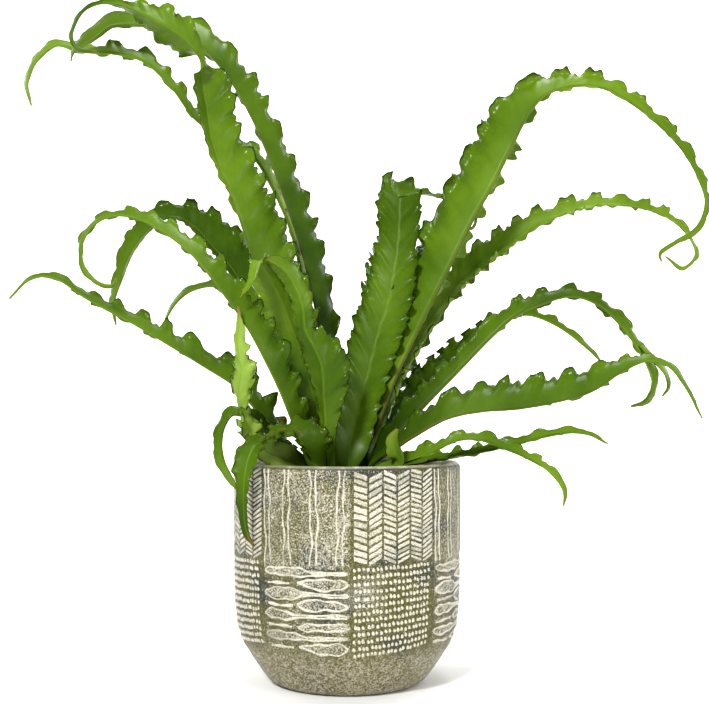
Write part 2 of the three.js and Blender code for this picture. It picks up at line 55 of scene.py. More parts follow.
# Stage; a light has its place, target and width in metres, and its power in watts
LIGHTS = {
    "key": ((-0.6, -1.5, 1.25), (0, 0, 0.25), 0.3, 29),
    "fill": ((1.3, -1.2, 0.7), (0, 0, 0.2), 0.5, 9),
    "top": ((0.2, 0.2, 1.7), (0, 0, 0.2), 0.6, 10),
    "backdrop_left": ((-1.6, 1.0, 1.2), (-0.4, 2.8, 0.6), 1.2, 60),
    "backdrop_right": ((1.6, 1.0, 1.2), (0.4, 2.8, 0.6), 1.2, 60),
}
WORLD_STRENGTH = 0.32
FLOOR_BEND = 1500
FLOOR_REACH = 4000

# Pot: profiles are lists of (height, radius), and UNROUND is how far it is out of round, as a share
POT_RADIUS = 70
POT_HEIGHT = 136
POT_WALL = 6
POT_FLOOR = 8
POT_SIDES = 360
POT_ROWS = 110
RIM_ROUND = 2.6
POT_OUTSIDE = [
    (0, 44.5), (2.5, 49), (7.5, 53), (15, 58.2), (25, 64.6), (36, 68), (50, 69.4), (70, POT_RADIUS),
    (POT_HEIGHT - 2.5, POT_RADIUS), (POT_HEIGHT, 68.6),
]
POT_UNDERSIDE = [(0.6, 0), (0.6, 30), (0, 38)]
POT_INSIDE_BOTTOM = [(POT_FLOOR + 4, 52), (POT_FLOOR, 44), (POT_FLOOR, 0)]
UNROUND = 0.0022

# Eight panels of relief go round the pot, of two kinds in turn; angles are from the front, to the right
PANELS = 8
FIRST_PANEL = math.radians(1.5)
PANEL_TURN = math.tau / PANELS
PANEL_WIDTH = POT_RADIUS * PANEL_TURN
PANEL_MARGIN = 1.5
PANEL_INSIDE = PANEL_WIDTH - 2 * PANEL_MARGIN
UPPER_BAND = (81, 134.5)
LOWER_BAND = (29, 77.5)
# How high the relief is, and how high its edges are as a share of that: they lie under the surface
RELIEF_HEIGHT = 0.55
SUNK = -0.25
# Wavy lines stand in pairs, at these places across their panel
WAVY_PAIRS = (2.6, 17, 33.6, 49.6)
WAVY_PAIR_GAP = 3.6
WAVY_WIDTH = 1.25
# Herringbone columns from left to right: how far apart the strokes are, and how far their ends rise
CHEVRONS = [(4.1, -1.2), (3.8, 2.2), (3.5, -1.5), (3.1, 1.8), (2.8, -1.2), (2.7, 2.0)]
CHEVRON_GAP = 0.35
STROKE_GAP = 0.75
# Rows of lenses, long and short in turn: half heights of the bulb and the tail, and the outline's width
LENS_ROWS = 8
LENS_PITCH = 6.2
LENS_START = 3
LENS_BULB = 2.5
LENS_TAIL = 0.65
LENS_OUTLINE = 1.55
SHORT_LENS_START = 0.44
BESIDE_LENS_WIDTH = 1.9
# Rows of dots rise to the right, the lowest most
DOT_PITCH = 2.6
DOT_ROW_PITCH = 4.15
DOT_RISES = (0.03, 0.1)
DOT_WIDTHS = (1.8, 2.15)
DOT_LENGTHS = (1.25, 1.5)
# How much the glaze is worn off each kind of relief
HERRINGBONE_WEAR = 1.3
LINE_WEAR = 0.6
DOT_WEAR = 0.15

# Soil and crown: profiles are lists of (radius, height), and the chips' is for a size of 1
SOIL_TOP = 121
SOIL_SIDES = 150
SOIL_GAP = 0.3
CHIPS = 420
CHIP_SIZES = (0.7, 2.6)
CHIP_LEVELS = [(0.01, 1), (0.8, 0.6), (1, 0), (0.75, -0.6), (0.01, -0.9)]
CROWN_RADIUS = 27
CROWN_SIDES = 110
CROWN_DOME = [(0, 127), (11, 126), (21, 122.5), (27, 118)]
FIBRES = 520
FIBRE_POINTS = 6

# Blades: the stipe turns into a blade between the first two places along it
BLADE_STARTS = 14
BLADE_FULL = 45
STIPE_THICKNESS = 2.6
STIPE_STRAIGHT = 0.65
LEAST_WIDTH = 1.2
TIP_LENGTH = 6
MARGIN_THICKNESS = 0.4
RIB_WIDTH = 0.9
RIB_RISES = (0.3, 0.9)
FOLD = math.radians(26)
WAVES_START = 22
WAVES_FULL = 70
FULL_WAVES_WIDTH = 18
SIDES_APART = 2.1
FLUTE_SLANT = 0.45
LOBE_BITE = 4.0
LOBE_CURL = 4.3
RUFFLE_HEIGHT = 1.0
ROLL_START = 0.68
ROLL_TURN = 1.8
PLEAT_LENGTH = 13
PLEAT_HEIGHT = 0.15
PLEAT_WIDTH = 25
VEIN_PITCH = 2.3
VEIN_SLANT = 1.15
HIDDEN_WIDTH = 0.9
BACKWARD = np.array([0, 1, 0])
STATION_PITCH = 1.3
BROAD_BLADE = 17
BROAD_LINES = 13
NARROW_LINES = 7
FORK_PLACE = 200

# Colours
DEEP_GREEN = (0.013, 0.038, 0)
LEAF_GREEN = (0.08, 0.156, 0.005)
PALE_GREEN = (0.168, 0.276, 0.018)
YOUNG_GREEN = (0.34, 0.48, 0.1)
GREENS = [DEEP_GREEN, LEAF_GREEN, PALE_GREEN, YOUNG_GREEN]
RIB_GREEN = (0.16, 0.265, 0.012)
RIB_BROWN = (0.11, 0.055, 0.018)
DRY_BROWN = (0.18, 0.085, 0.022)
GLAZE_CREAM = (0.6, 0.56, 0.43)
GLAZE_PALE = (0.78, 0.735, 0.64)
GLAZE_BEIGE = (0.58, 0.52, 0.43)
GLAZE_GREY = (0.27, 0.265, 0.19)
GLAZE_OLIVE = (0.12, 0.11, 0.018)
GLAZE_DARK = (0.035, 0.042, 0.024)

# What a frond has unless FRONDS says otherwise. "out" is where it arches to, in degrees counterclockwise
# from +X. The shape's other values: the height of its waves, the share of its length after which they are
# calmer, how far its lobes roll over, how much farther the waves travel in its outer half, how much rounder
# its lobes are past the first third, the height of its pleats, that of the lobes on a half that is folded
# back, how much wider its foot is, and its frills by side, start, end, pitch and height. Looks: how brown
# the frills' crests are, how pale the tip and the whole frond are, how brown the midrib's foot and the tip
# are, how clear the midrib is, and the painted shade over the foot, where other fronds shade it: where it
# starts to fade, where it ends and how dark it is.
USUAL = dict(
    out=0, waves=1, calm=0.8, roll=0.5, quick=0, round=0, pleat=1, peek=0.8, spread=6, frills=[],
    crisp=0, fade=1, pale=0, brown=0.25, dry=0.35, line=0.4, dark=(18, 80, 0.8),
)
# Routes are lists of (x, y, z, width, lean in degrees) from root to tip, close to the solids' routes.
# "wave" is where a frond's waves begin. "tone" is its place in GREENS, from 0 to 3, and patches of the
# next green lie over it. "rib" is where the midrib lies, from -1 to 1, at even steps from foot to tip:
# a half that it leaves no room for folds back behind it. "lobes" is the pitch of the lobes, and "knob"
# is 0 for cusps and 1 for round knobs.
FRONDS = {
    "left_tall": dict(wave=0.4, tone=0.35, rib=(0.9, 0.8), lobes=10.5, knob=0.35, out=180, waves=0.65,
        fade=0.6, brown=0.9, dark=(90, 300, 0.7), route=[
        (-1, 6, 115, 5, 10), (-7, 10, 133, 6, 20), (-10, 18, 174, 12, 40), (-13, 26, 223, 18, 45),
        (-20, 30, 260, 21, 45), (-30, 33, 295, 22, 45), (-42, 35, 328, 22, 45), (-57, 37, 363, 22, 45),
        (-73, 38, 391, 24, 45), (-92, 38, 412, 24, 45), (-113, 38, 424, 22, 48), (-136, 38, 427, 22, 50),
        (-157, 38, 424, 18, 45), (-170, 38, 414, 14, 50), (-180, 38, 405, 8, 40), (-182, 38, 397, 3, 20)]),
    "left_far": dict(wave=1.7, tone=1.15, rib=(0.6, 0.8), lobes=9.5, knob=0.3, out=180, pale=0.3, route=[
        (-7, 13, 115, 5, 10), (-14, 20, 136, 6, 20), (-19, 34, 187, 10, 30), (-25, 50, 241, 14, 30),
        (-33, 58, 284, 16, 30), (-43, 60, 310, 16, 30), (-60, 62, 340, 15, 35), (-76, 62, 352, 13, 35),
        (-99, 62, 365, 13, 35), (-116, 60, 387, 12, 40), (-136, 58, 406, 14, 45), (-157, 56, 411, 15, 45),
        (-178, 54, 411, 12, 45), (-195, 52, 414, 10, 45), (-208, 50, 403, 8, 45), (-214, 48, 386, 6, 40),
        (-210, 46, 370, 2.5, 40)]),
    "left_broad": dict(wave=3.1, tone=0.7, rib=(0.85, 0.85, 0.7, 0.2, 0.1, 0.1), lobes=9, knob=0.25,
        out=180, waves=0.75, pleat=2.6, peek=1.4, fade=0.15, brown=0.5, line=0.3, route=[
        (-6, -1, 115, 5, 10), (-9, -3, 135, 8, 20), (-14, -5, 162, 16, 30), (-20, -6, 191, 24, 40),
        (-29, -6, 222, 30, 48), (-39, -6, 247, 34, 55), (-50, -6, 273, 36, 55), (-60, -6, 298, 36, 55),
        (-70, -7, 319, 36, 55), (-78, -8, 338, 33, 55), (-82, -8, 358, 32, 55), (-84, -9, 372, 34, 52),
        (-88, -10, 385, 13, 2), (-96, -12, 394, 27, -50), (-112, -14, 405, 29, -52),
        (-128, -14, 413, 15, -46), (-141, -13, 418, 8, -30), (-151, -12, 419, 7, -10),
        (-162, -12, 415, 7, 20), (-168, -12, 406, 6, 30), (-170, -12, 397, 5, 30), (-166, -12, 390, 4, 30),
        (-153, -13, 388, 2, 30)]),
    "left_lobed": dict(wave=4.4, tone=0.35, rib=(0.35, 0.3), lobes=7.6, knob=0.95, out=180, calm=0.66,
        roll=1, route=[
        (-13, 5, 115, 5, 10), (-18, 14, 135, 7, 15), (-28, 24, 171, 14, 30), (-43, 32, 209, 22, 40),
        (-58, 36, 242, 30, 50), (-70, 38, 265, 34, 55), (-84, 38, 281, 34, 55), (-97, 38, 293, 28, 55),
        (-111, 38, 299, 22, 50), (-123, 37, 297, 21, 48), (-134, 36, 288, 22, 48), (-144, 35, 273, 20, 45),
        (-150, 34, 255, 15, 40), (-154, 33, 238, 9, 30), (-151, 32, 223, 2.5, 30)]),
    "left_spiral": dict(wave=5.2, tone=0.4, rib=(0.88, 0.8), lobes=8.5, knob=0.3, out=180, calm=0.85,
        route=[
        (-13, -7, 115, 5, 10), (-19, -14, 134, 7, 15), (-24, -27, 152, 13, 25), (-31.5, -43, 175, 17, 40),
        (-40, -53, 197.5, 20, 50), (-53, -55, 220.5, 19, 50), (-68, -54, 240.5, 18, 50),
        (-86.5, -49, 261, 15, 45), (-105, -44, 275, 13, 45), (-122, -40, 283.5, 11, 45),
        (-139, -38, 284.5, 8, 40), (-152, -36, 278, 7, 40), (-159, -35, 265, 6, 40),
        (-157, -34, 252, 5, 40), (-148, -34, 243, 4, 40), (-140, -33, 242, 3, 35), (-137, -33, 247, 2, 35)]),
    "left_low": dict(wave=0.9, tone=0.4, rib=(0.9, 0.8), lobes=9.5, knob=0.7, out=180, waves=1.3,
        fade=0.7, dark=(18, 60, 0.4), route=[
        (-20, 2, 115, 5, 10), (-24, 0, 127, 5, 12), (-31, -5, 137, 6, 15), (-38, -8, 147, 11, 20),
        (-49, -11, 167, 16, 35), (-64, -13, 186, 18, 45), (-84, -14, 199, 18, 45), (-105, -14, 211, 16, 45),
        (-127, -14, 223, 13, 45), (-148, -14, 233, 10, 45), (-162, -14, 240, 7, 45),
        (-174, -14, 248, 6, 45), (-186, -14, 251, 5, 45), (-197, -14, 247, 4, 40), (-207, -14, 236, 2, 40)]),
    "left_thin": dict(wave=2.2, tone=0.4, rib=(0.3, 0.6), lobes=12, knob=0.6, out=180, waves=0.5,
        fade=0.3, route=[
        (-17, 13, 115, 5, 10), (-20, 18, 127, 5, 12), (-27, 30, 146, 6, 20), (-48, 50, 194, 9, 30),
        (-62, 62, 235, 11, 35), (-73, 66, 249, 11, 35), (-86, 68, 254, 10, 35), (-97, 69, 254, 10, 35),
        (-109, 70, 250, 9, 35), (-118, 70, 242, 7, 35), (-126, 70, 227, 2, 35)]),
    "front_broad": dict(wave=1.2, tone=0.65, rib=(0, -0.1, -0.3, -0.1, 0, 0), lobes=6.5, knob=0.5,
        out=225, waves=0.8, pleat=2, spread=2, fade=0.2, line=0.25, dark=(18, 60, 0.5), route=[
        (-3, -14, 115, 5, 0), (-11, -22, 134, 7, -30), (-11.5, -29, 151, 9, -35), (-11, -31, 166, 14, -42),
        (-10.5, -33, 181, 25, -45), (-12.5, -34, 196, 31, -45), (-19, -35, 208, 25, -45),
        (-24, -36, 215, 14, -45), (-26, -37, 229, 15, -45), (-30, -38, 240, 15, -45),
        (-35, -40, 249, 14, -45), (-42, -43, 255, 11, -40), (-49, -46, 257, 4, -30)]),
    "front_second": dict(wave=3.5, tone=1.0, rib=(0.3, 0.1), lobes=7.5, knob=0.6, out=225,
        dark=(40, 110, 0.6), route=[
        (-11, -13, 115, 5, 0), (-11, -13, 134, 7, -30), (-15, -15, 152, 13, -35), (-23, -19, 178, 20, -42),
        (-31, -22, 205, 26, -45), (-37, -24, 221, 27, -45), (-42, -27, 235, 27, -42),
        (-47, -32, 247, 25, -35), (-50, -38, 255, 18, -15), (-52, -46, 257, 12, 0), (-53, -56, 252, 9, 10),
        (-54, -61, 245, 7, 10), (-57, -64, 238, 5, 10), (-61, -65, 232, 2, 10)]),
    "front_twisted": dict(wave=2.9, tone=1.9, rib=(0, 0), lobes=7, knob=0.3, out=180, waves=1.3, pleat=5,
        frills=[(-1, 34, 118, 9, 2.4), (1, 34, 118, 8, 2.4)], fade=0.1, pale=0.1, dry=0.9,
        dark=(10, 30, 0.1), route=[
        (-16, -14, 115, 5, 10), (-19, -17, 127, 5, 15), (-34, -37, 139, 15, 60), (-47, -42, 145, 15, 65),
        (-53, -44, 151, 14, 70), (-57, -46, 158, 15, 70), (-60, -50, 169, 9, 10), (-61, -54, 178, 15, -60),
        (-59, -58, 190, 17, -70), (-61, -62, 205, 11, -60), (-61, -63, 216, 6, -70),
        (-62, -64, 227, 2, -60)]),
    "front_hanging": dict(wave=4.0, tone=0.1, rib=(0.9, 0.7, 0.2, 0.1, 0.2, 0.2), lobes=9, knob=0.3,
        out=200, waves=0.7, frills=[(-1, 26, 92, 7, 2.6), (1, 40, 92, 8, 4)], crisp=0.6, fade=0.1,
        dry=0.8, dark=(14, 44, 0.4), route=[
        (-11, -20, 115, 5, 10), (-12.5, -25, 127, 7, 25), (-17, -38, 140, 19, 66),
        (-21.5, -45.5, 152, 21, 68), (-32, -50.5, 158.5, 20, 24), (-46, -52, 154, 18, 8),
        (-54, -55, 149, 15, 36), (-58, -58, 141, 17, 66), (-60, -59, 127, 10, 66), (-60, -58, 111, 6.5, 62),
        (-58, -57, 97, 4.5, 60), (-54, -56, 90, 2, 60)]),
    "side_arched": dict(wave=0.2, tone=0.6, rib=(0.3, 0.5), lobes=9, knob=0.6, out=180, waves=0.3, route=[
        (-20, -8, 115, 5, 10), (-23, -11, 127, 5, 12), (-36, -21, 143, 6, 20), (-49, -27, 158, 9, 35),
        (-60, -31, 166, 10, 40), (-69, -33, 167, 10, 40), (-75, -34, 159, 10, 40), (-77, -35, 147, 10, 45),
        (-75, -36, 137, 9, 45), (-70, -38, 128, 7, 45), (-64, -40, 120, 3, 45)]),
    "centre_broad": dict(wave=5.6, tone=0.5, rib=(0, 0), lobes=7, knob=0.15, waves=0.9, pleat=3,
        brown=0.1, line=0.2, dark=(18, 60, 0.25), route=[
        (1, -7, 115, 5, 90), (1, -8, 134, 9, 90), (2, -8, 146, 19, 90), (7, -7, 169, 26, 88),
        (13, -5, 194, 34, 86), (19, -3, 218, 38, 85), (25, -1, 236, 37, 85), (29, 2, 257, 35, 85),
        (32, 7, 277, 31, 85), (33, 12, 296, 33, 84), (34, 15, 309, 31, 82), (38, 25, 312, 20, 60),
        (54, 33, 310, 8, 30), (68, 39, 307, 6, 30), (82, 44, 303, 5, 30), (86, 45, 294, 4, 30),
        (83, 45, 288, 3, 30), (78, 45, 289, 2, 30)]),
    "right_tall": dict(wave=2.5, tone=0.8, rib=(-0.88, -0.88, -0.88, -0.8, -0.35, -0.3, -0.3), lobes=12.5,
        knob=0.85, calm=0.9, roll=1, quick=140, round=0.55, peek=1.7, brown=0.9, route=[
        (6, 2, 115, 5, 10), (6, 3, 133, 7, 20), (12, 4, 155, 16, 35), (20, 5, 186, 28, 42),
        (34, 6, 222, 34, 48), (50, 6, 256, 36, 50), (66, 7, 288, 36, 50), (82, 9, 316, 36, 50),
        (96, 10, 342, 34, 50), (108, 11, 361, 32, 50), (123, 12, 373, 26, 45), (142, 13, 378, 20, 45),
        (163, 12, 376, 17, 45), (181, 11, 366, 15, 45), (199, 10, 351, 13, 45), (214, 9, 334, 11, 45),
        (224, 8, 315, 9, 45), (228, 7, 297, 7, 45), (221, 6, 282, 6, 40), (207, 5, 273, 5, 40),
        (197, 4, 266, 3.5, 40), (198, 4, 261, 2, 40)]),
    "right_second": dict(wave=3.7, tone=1.4, rib=(0.1, 0, -0.1, -0.25), lobes=8.5, knob=0.85, calm=0.9,
        roll=1, fade=0.5, line=0.2, dark=(18, 60, 0.5), route=[
        (12, 8, 115, 5, 10), (16, 14, 139, 9, 20), (25, 24, 174, 20, 35), (40, 32, 207, 26, 42),
        (59, 36, 240, 29, 48), (78, 38, 261, 29, 48), (99, 39, 277, 26, 48), (123, 40, 293, 21, 48),
        (146, 40, 302, 18, 45), (169, 40, 306, 15, 45), (192, 40, 304, 13, 45), (212, 40, 297, 11, 45),
        (226, 40, 284, 7, 40), (231, 40, 270, 5, 40), (222, 40, 261, 4, 40), (210, 40, 269, 2, 40)]),
    "right_arched": dict(wave=1.4, tone=0.4, rib=(-0.9, -0.85), lobes=9.5, knob=0.8, waves=1.1, roll=1,
        spread=1, fade=0.7, brown=0.4, dark=(40, 150, 0.8), route=[
        (14, -3, 115, 5, 10), (15, -5, 133, 7, 20), (22, -6, 147, 13, 30), (33, -7, 162, 16, 38),
        (47, -8, 177, 16.5, 45), (68, -9, 198, 15, 48), (84.5, -9, 214.5, 14, 48), (101, -9, 229, 14, 48),
        (120, -9, 237.5, 13, 48), (140, -9, 241, 10.5, 48), (157.5, -8, 234.5, 10, 48),
        (173.5, -6, 219.5, 9.5, 48), (185, -3, 203, 8, 45), (193, 0, 187, 8, 45), (188, 2, 173, 6, 40),
        (178, 3, 170, 3, 40)], fork=[
        (183, -4, 208, 6, 45), (189, -8, 200, 6, 45), (196, -11, 191, 6, 40), (198, -12, 182, 4, 35),
        (194, -12, 176, 2, 30)]),
    "right_low": dict(wave=0.6, tone=0.35, rib=(-0.9, -0.8), lobes=9.5, knob=0.35, waves=0.8, pleat=2,
        spread=1, fade=0.7, brown=0.6, dark=(45, 130, 0.6), route=[
        (9, -13, 115, 5, 10), (15, -19, 135, 7, 15), (25, -25, 145, 13, 20), (39, -30, 157, 18, 30),
        (58, -33, 169, 22, 38), (79, -34, 174.5, 24, 45), (100, -35, 177, 26, 48), (121, -35, 180, 24, 48),
        (142, -35, 185, 21, 48), (161, -34, 194, 14, 45), (178, -33, 199, 8, 40), (191, -33, 196, 6, 40),
        (201, -33, 185, 5, 40), (212, -33, 163, 2, 40)]),
    "right_back": dict(wave=4.9, tone=0.4, rib=(-0.1, -0.6), lobes=8, knob=0.6,
        frills=[(-1, 60, 150, 9, 2.2), (1, 50, 150, 10, 3.2)], route=[
        (15, 15, 115, 5, 10), (18, 27, 148, 9, 20), (31, 35, 169, 19, 30), (46, 40, 186, 22, 38),
        (63, 44, 200.5, 20, 42), (84, 47, 217, 14, 45), (105, 49, 231, 11, 45), (122, 50, 233, 9, 45),
        (142, 50, 225, 8, 45), (161, 50, 210, 6, 40), (172, 50, 198, 2, 40)]),
    "front_right": dict(wave=3.3, tone=0.65, rib=(0, -0.6), lobes=8.5, knob=0.5, dark=(14, 50, 0.5),
        route=[
        (15, -16, 115, 5, 10), (17, -19, 127, 5, 12), (25, -32, 135, 6, 20), (37, -43, 141, 8, 30),
        (50, -48, 146, 8, 40), (63, -50, 152, 8, 45), (76, -51, 153, 9, 45), (91, -51, 148, 9, 45),
        (105, -51, 142, 8, 45), (119, -50, 133, 7, 45), (127, -50, 121, 5, 45), (126, -50, 112, 2, 40)]),
    "front_right_low": dict(wave=2.0, tone=0.65, rib=(0, -0.4), lobes=8.5, knob=0.4, dark=(14, 50, 0.5),
        route=[
        (20, -9, 115, 5, 10), (23, -11, 127, 5, 12), (34, -21, 135, 6, 20), (50, -29, 140, 7, 25),
        (64, -35, 142, 8, 30), (80, -39, 145, 9, 40), (97, -41, 149, 9, 45), (117, -41, 154, 8, 45),
        (133, -41, 156, 6, 45), (144, -41, 154, 4, 40), (154, -41, 148, 2, 40)]),
    "front_small": dict(wave=0, tone=1.3, rib=(0, 0), lobes=9, knob=0.4, waves=0.5, fade=0.1,
        dark=(10, 24, 0.3), route=[
        (9, -20, 115, 4, 30), (11, -22, 127, 4, 35), (19, -36, 132, 4, 40), (29, -50, 138, 6, 50),
        (27, -53, 145, 7, 60), (26, -54, 151, 6, 60), (29, -54, 157, 2, 60)]),
    "back_middle": dict(wave=1.0, tone=0.4, rib=(0, 0), lobes=11, knob=0.5, out=80, route=[
        (4, 13, 115, 5, 0), (7, 24, 140, 8, 0), (12, 42, 185, 20, 0), (19, 70, 235, 26, 0),
        (26, 110, 275, 24, 0), (31, 150, 285, 18, 0), (35, 182, 268, 9, 0), (37, 196, 245, 3, 0)]),
    "back_left": dict(wave=2.4, tone=0.5, rib=(0, 0), lobes=10, knob=0.3, out=115, route=[
        (-5, 21, 115, 5, 0), (-10, 33, 140, 8, 0), (-20, 56, 180, 18, 0), (-34, 92, 222, 22, 0),
        (-48, 130, 244, 18, 0), (-56, 162, 240, 10, 0), (-60, 180, 224, 3, 0)]),
    "back_right": dict(wave=5.0, tone=0.5, rib=(0, 0), lobes=11, knob=0.7, out=70, route=[
        (9, 21, 115, 5, 0), (11, 25, 127, 5, 0), (16, 38, 150, 8, 0), (24, 60, 185, 18, 0),
        (36, 100, 232, 22, 0), (46, 140, 250, 17, 0), (52, 168, 240, 9, 0), (55, 184, 222, 3, 0)]),
}


def ramp(value, low, high):
    """A smooth step from 0 at the low value to 1 at the high one"""
    share = np.clip((value - low) / (high - low), 0, 1)
    return share * share * (3 - 2 * share)


def unit(vectors):
    return vectors / np.linalg.norm(vectors, axis=-1, keepdims=True)


def turned(x, y, angle):
    return x * math.cos(angle) - y * math.sin(angle), x * math.sin(angle) + y * math.cos(angle)


def numbered(rows, columns, closed=False):
    """A grid of point numbers, with its first column again at the end where it goes all the way round"""
    cells = np.arange(rows * columns).reshape(rows, columns)
    return np.hstack([cells, cells[:, :1]]) if closed else cells


def quads(cells, flipped=False):
    """Faces with four corners between the rows and columns of a grid of point numbers"""
    a, b, c, d = cells[:-1, :-1], cells[:-1, 1:], cells[1:, 1:], cells[1:, :-1]
    return np.stack([a, d, c, b] if flipped else [a, b, c, d], -1).reshape(-1, 4)


def joined(blocks):
    """One array of points and one of faces, from blocks that each have their own"""
    points, faces = zip(*blocks)
    firsts = np.cumsum([0] + [len(block) for block in points])
    return np.concatenate(points), np.concatenate([block + first for block, first in zip(faces, firsts)])


def add(name, data):
    """A new object in the scene"""
    made = bpy.data.objects.new(name, data)
    scene.collection.objects.link(made)
    return made


def make_piece(name, points, faces, material, values=None):
    """A smooth mesh object from points in millimetres, with named values for each point"""
    mesh = bpy.data.meshes.new(name)
    mesh.from_pydata((points * MM).tolist(), [], faces.tolist())
    mesh.polygons.foreach_set("use_smooth", [True] * len(mesh.polygons))
    for key, numbers in (values or {}).items():
        attribute = mesh.attributes.new(key, "FLOAT", "POINT")
        attribute.data.foreach_set("value", np.asarray(numbers, np.float32).ravel())
    mesh.materials.append(material)
    mesh.update()
    return add(name, mesh)


def part_of(piece, slot, *nodes):
    """The piece belongs to the plant and stands for the nodes, which are hidden. The slot is not used."""
    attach(piece, "root")
    if nodes:
        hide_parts(*nodes)


# Materials

class Nodes:
    """Short calls for building a material's nodes"""

    def __init__(self, name):
        self.material = bpy.data.materials.new(name)
        self.material.use_nodes = True
        self.tree = self.material.node_tree
        self.shader = self.tree.nodes["Principled BSDF"]

    def node(self, kind, *values, **inputs):
        """A node with values for its first inputs and for the named ones"""
        made = self.tree.nodes.new("ShaderNode" + kind)
        for socket, value in zip(made.inputs, values):
            self.feed(socket, value)
        for key, value in inputs.items():
            self.feed(made.inputs[key], value)
        return made

    def feed(self, socket, value):
        if isinstance(value, bpy.types.NodeSocket):
            self.tree.links.new(value, socket)
        else:
            socket.default_value = value

    def value(self, name):
        made = self.node("Attribute")
        made.attribute_name = name
        return made.outputs["Fac"]

    def maths(self, operation, *values):
        made = self.node("Math", *values)
        made.operation = operation
        return made.outputs[0]

    def times(self, first, second):
        return self.maths("MULTIPLY", first, second)

    def noise(self, scale, detail=2, roughness=0.5, distortion=0):
        place = self.node("TexCoord").outputs["Object"]
        return self.node("TexNoise", Vector=place, Scale=scale, Detail=detail, Roughness=roughness,
                         Distortion=distortion).outputs["Fac"]

    def between(self, value, low, high, to_low=0, to_high=1):
        """The value's smooth step from low to high"""
        made = self.node("MapRange", value, low, high, to_low, to_high)
        made.interpolation_type = "SMOOTHSTEP"
        return made.outputs[0]

    def mix(self, share, first, second):
        made = self.node("Mix", share)
        made.data_type = "RGBA"
        for socket, colour in zip(made.inputs[6:8], (first, second)):
            self.feed(socket, colour if isinstance(colour, bpy.types.NodeSocket) else (*colour, 1))
        return made.outputs[2]

    def bump(self, height, distance, strength=1.0, after=None):
        """A normal from heights with the given distance in millimetres, on top of the one before it"""
        made = self.node("Bump", Height=height, Distance=distance * MM, Strength=strength)
        if after:
            self.feed(made.inputs["Normal"], after)
        return made.outputs["Normal"]

    def finish(self, colour, roughness, normal=None, specular=0.5):
        inputs = self.shader.inputs
        self.feed(inputs["Base Color"], colour)
        self.feed(inputs["Roughness"], roughness)
        self.feed(inputs["Specular IOR Level"], specular)
        if normal:
            self.feed(inputs["Normal"], normal)
        return self.material


def green_shade(tone):
    """The green at a place in the list from deep to young"""
    places = range(len(GREENS))
    return tuple(float(np.interp(tone, places, channel)) for channel in zip(*GREENS))


def leaf_material(name, tone, dark, line_share):
    """Glossy green blade with a coloured midrib, slanting side veins, a dark edge and dry spots, with
    painted shade in the troughs between the lobes and over the foot
    """
    n = Nodes(name)
    across, along, edge, browned = (n.value(key) for key in ("across", "along", "edge", "brown"))
    wander = n.times(n.noise(45), 4)
    slant = n.maths("SUBTRACT", along, n.times(across, VEIN_SLANT))
    veins = n.maths("SINE", n.times(n.maths("ADD", slant, wander), math.tau / VEIN_PITCH))
    vein = n.times(n.between(veins, 0.2, 1.0), n.between(n.noise(120, 1), 0.35, 0.65))
    green = n.mix(n.between(n.noise(14, 3), 0.32, 0.7), green_shade(tone), green_shade(tone + 1))
    green = n.mix(n.times(n.value("tip"), 0.55), green, PALE_GREEN)
    green = n.mix(n.times(vein, 0.07), green, PALE_GREEN)
    # Painted shade: the troughs between the margin's lobes are darkened towards deep green, where they lie
    # in shade
    green = n.mix(n.times(n.value("shade"), 0.75), green, DEEP_GREEN)
    green = n.mix(n.times(n.noise(380), 0.16), green, DEEP_GREEN)
    green = n.mix(n.times(n.between(edge, 0.93, 0.98), 0.9), green, DEEP_GREEN)
    # Painted shade: the blade is darkened towards deep green from its foot up, where the other fronds shade
    # it; dark gives where this starts to fade, where it ends and how dark it is
    foot = n.between(along, dark[1], dark[0])
    green = n.mix(n.times(foot, dark[2]), green, DEEP_GREEN)
    rib = n.between(across, RIB_WIDTH, 0.3)
    line = n.mix(browned, RIB_GREEN, RIB_BROWN)
    strength = n.maths("ADD", line_share, n.times(browned, 0.45))
    green = n.mix(n.times(rib, strength), green, line)
    spots = n.maths("MAXIMUM", n.value("dry"), n.between(n.noise(150, 1), 0.8, 0.83))
    colour = n.mix(n.times(spots, 0.85), green, DRY_BROWN)
    roughness = n.between(n.noise(90, 3), 0.2, 0.8, 0.38, 0.5)
    roughness = n.maths("SUBTRACT", roughness, n.times(edge, 0.28))
    roughness = n.maths("ADD", roughness, n.times(foot, 0.1))
    pebbles = n.bump(n.noise(800), 0.05, 0.4)
    return n.finish(colour, roughness, n.bump(vein, -0.05, 0.5, pebbles), specular=0.16)


def pot_material():
    """Olive and dark ground under a dense cream speckle, which thins out where the values say so"""
    n = Nodes("pot_glaze_body")
    ground = n.mix(n.between(n.noise(38, 3), 0.36, 0.56), GLAZE_DARK, GLAZE_OLIVE)
    ground = n.mix(n.between(n.noise(24), 0.55, 0.8), ground, GLAZE_GREY)
    ground = n.mix(n.between(n.noise(1300), 0.52, 0.6), ground, GLAZE_DARK)
    patches = n.times(n.maths("SUBTRACT", n.noise(45, 3), 0.5), 0.5)
    amount = n.maths("ADD", n.value("cream"), patches)
    level = n.maths("SUBTRACT", 0.72, n.times(amount, 0.42))
    fine = n.noise(1250, 3, roughness=0.6, distortion=1.4)
    speckle = n.between(n.maths("SUBTRACT", fine, level), -0.012, 0.02)
    colour = n.mix(speckle, ground, n.mix(n.noise(300), GLAZE_CREAM, GLAZE_PALE))
    rim = n.mix(n.between(n.noise(200), 0.45, 0.8), GLAZE_GREY, GLAZE_CREAM)
    colour = n.mix(n.value("rim"), colour, rim)
    plain = n.value("plain")
    specks = n.maths("SUBTRACT", n.noise(720, 3, roughness=0.6, distortion=1.5), n.times(plain, 0.05))
    beige = n.mix(n.between(specks, 0.4, 0.47), GLAZE_BEIGE, GLAZE_OLIVE)
    colour = n.mix(n.times(plain, 0.75), colour, beige)
    normal = n.bump(speckle, 0.16, 0.8, n.bump(n.noise(260), 0.2, 0.5))
    return n.finish(colour, n.between(speckle, 0, 1, 0.5, 0.68), normal)


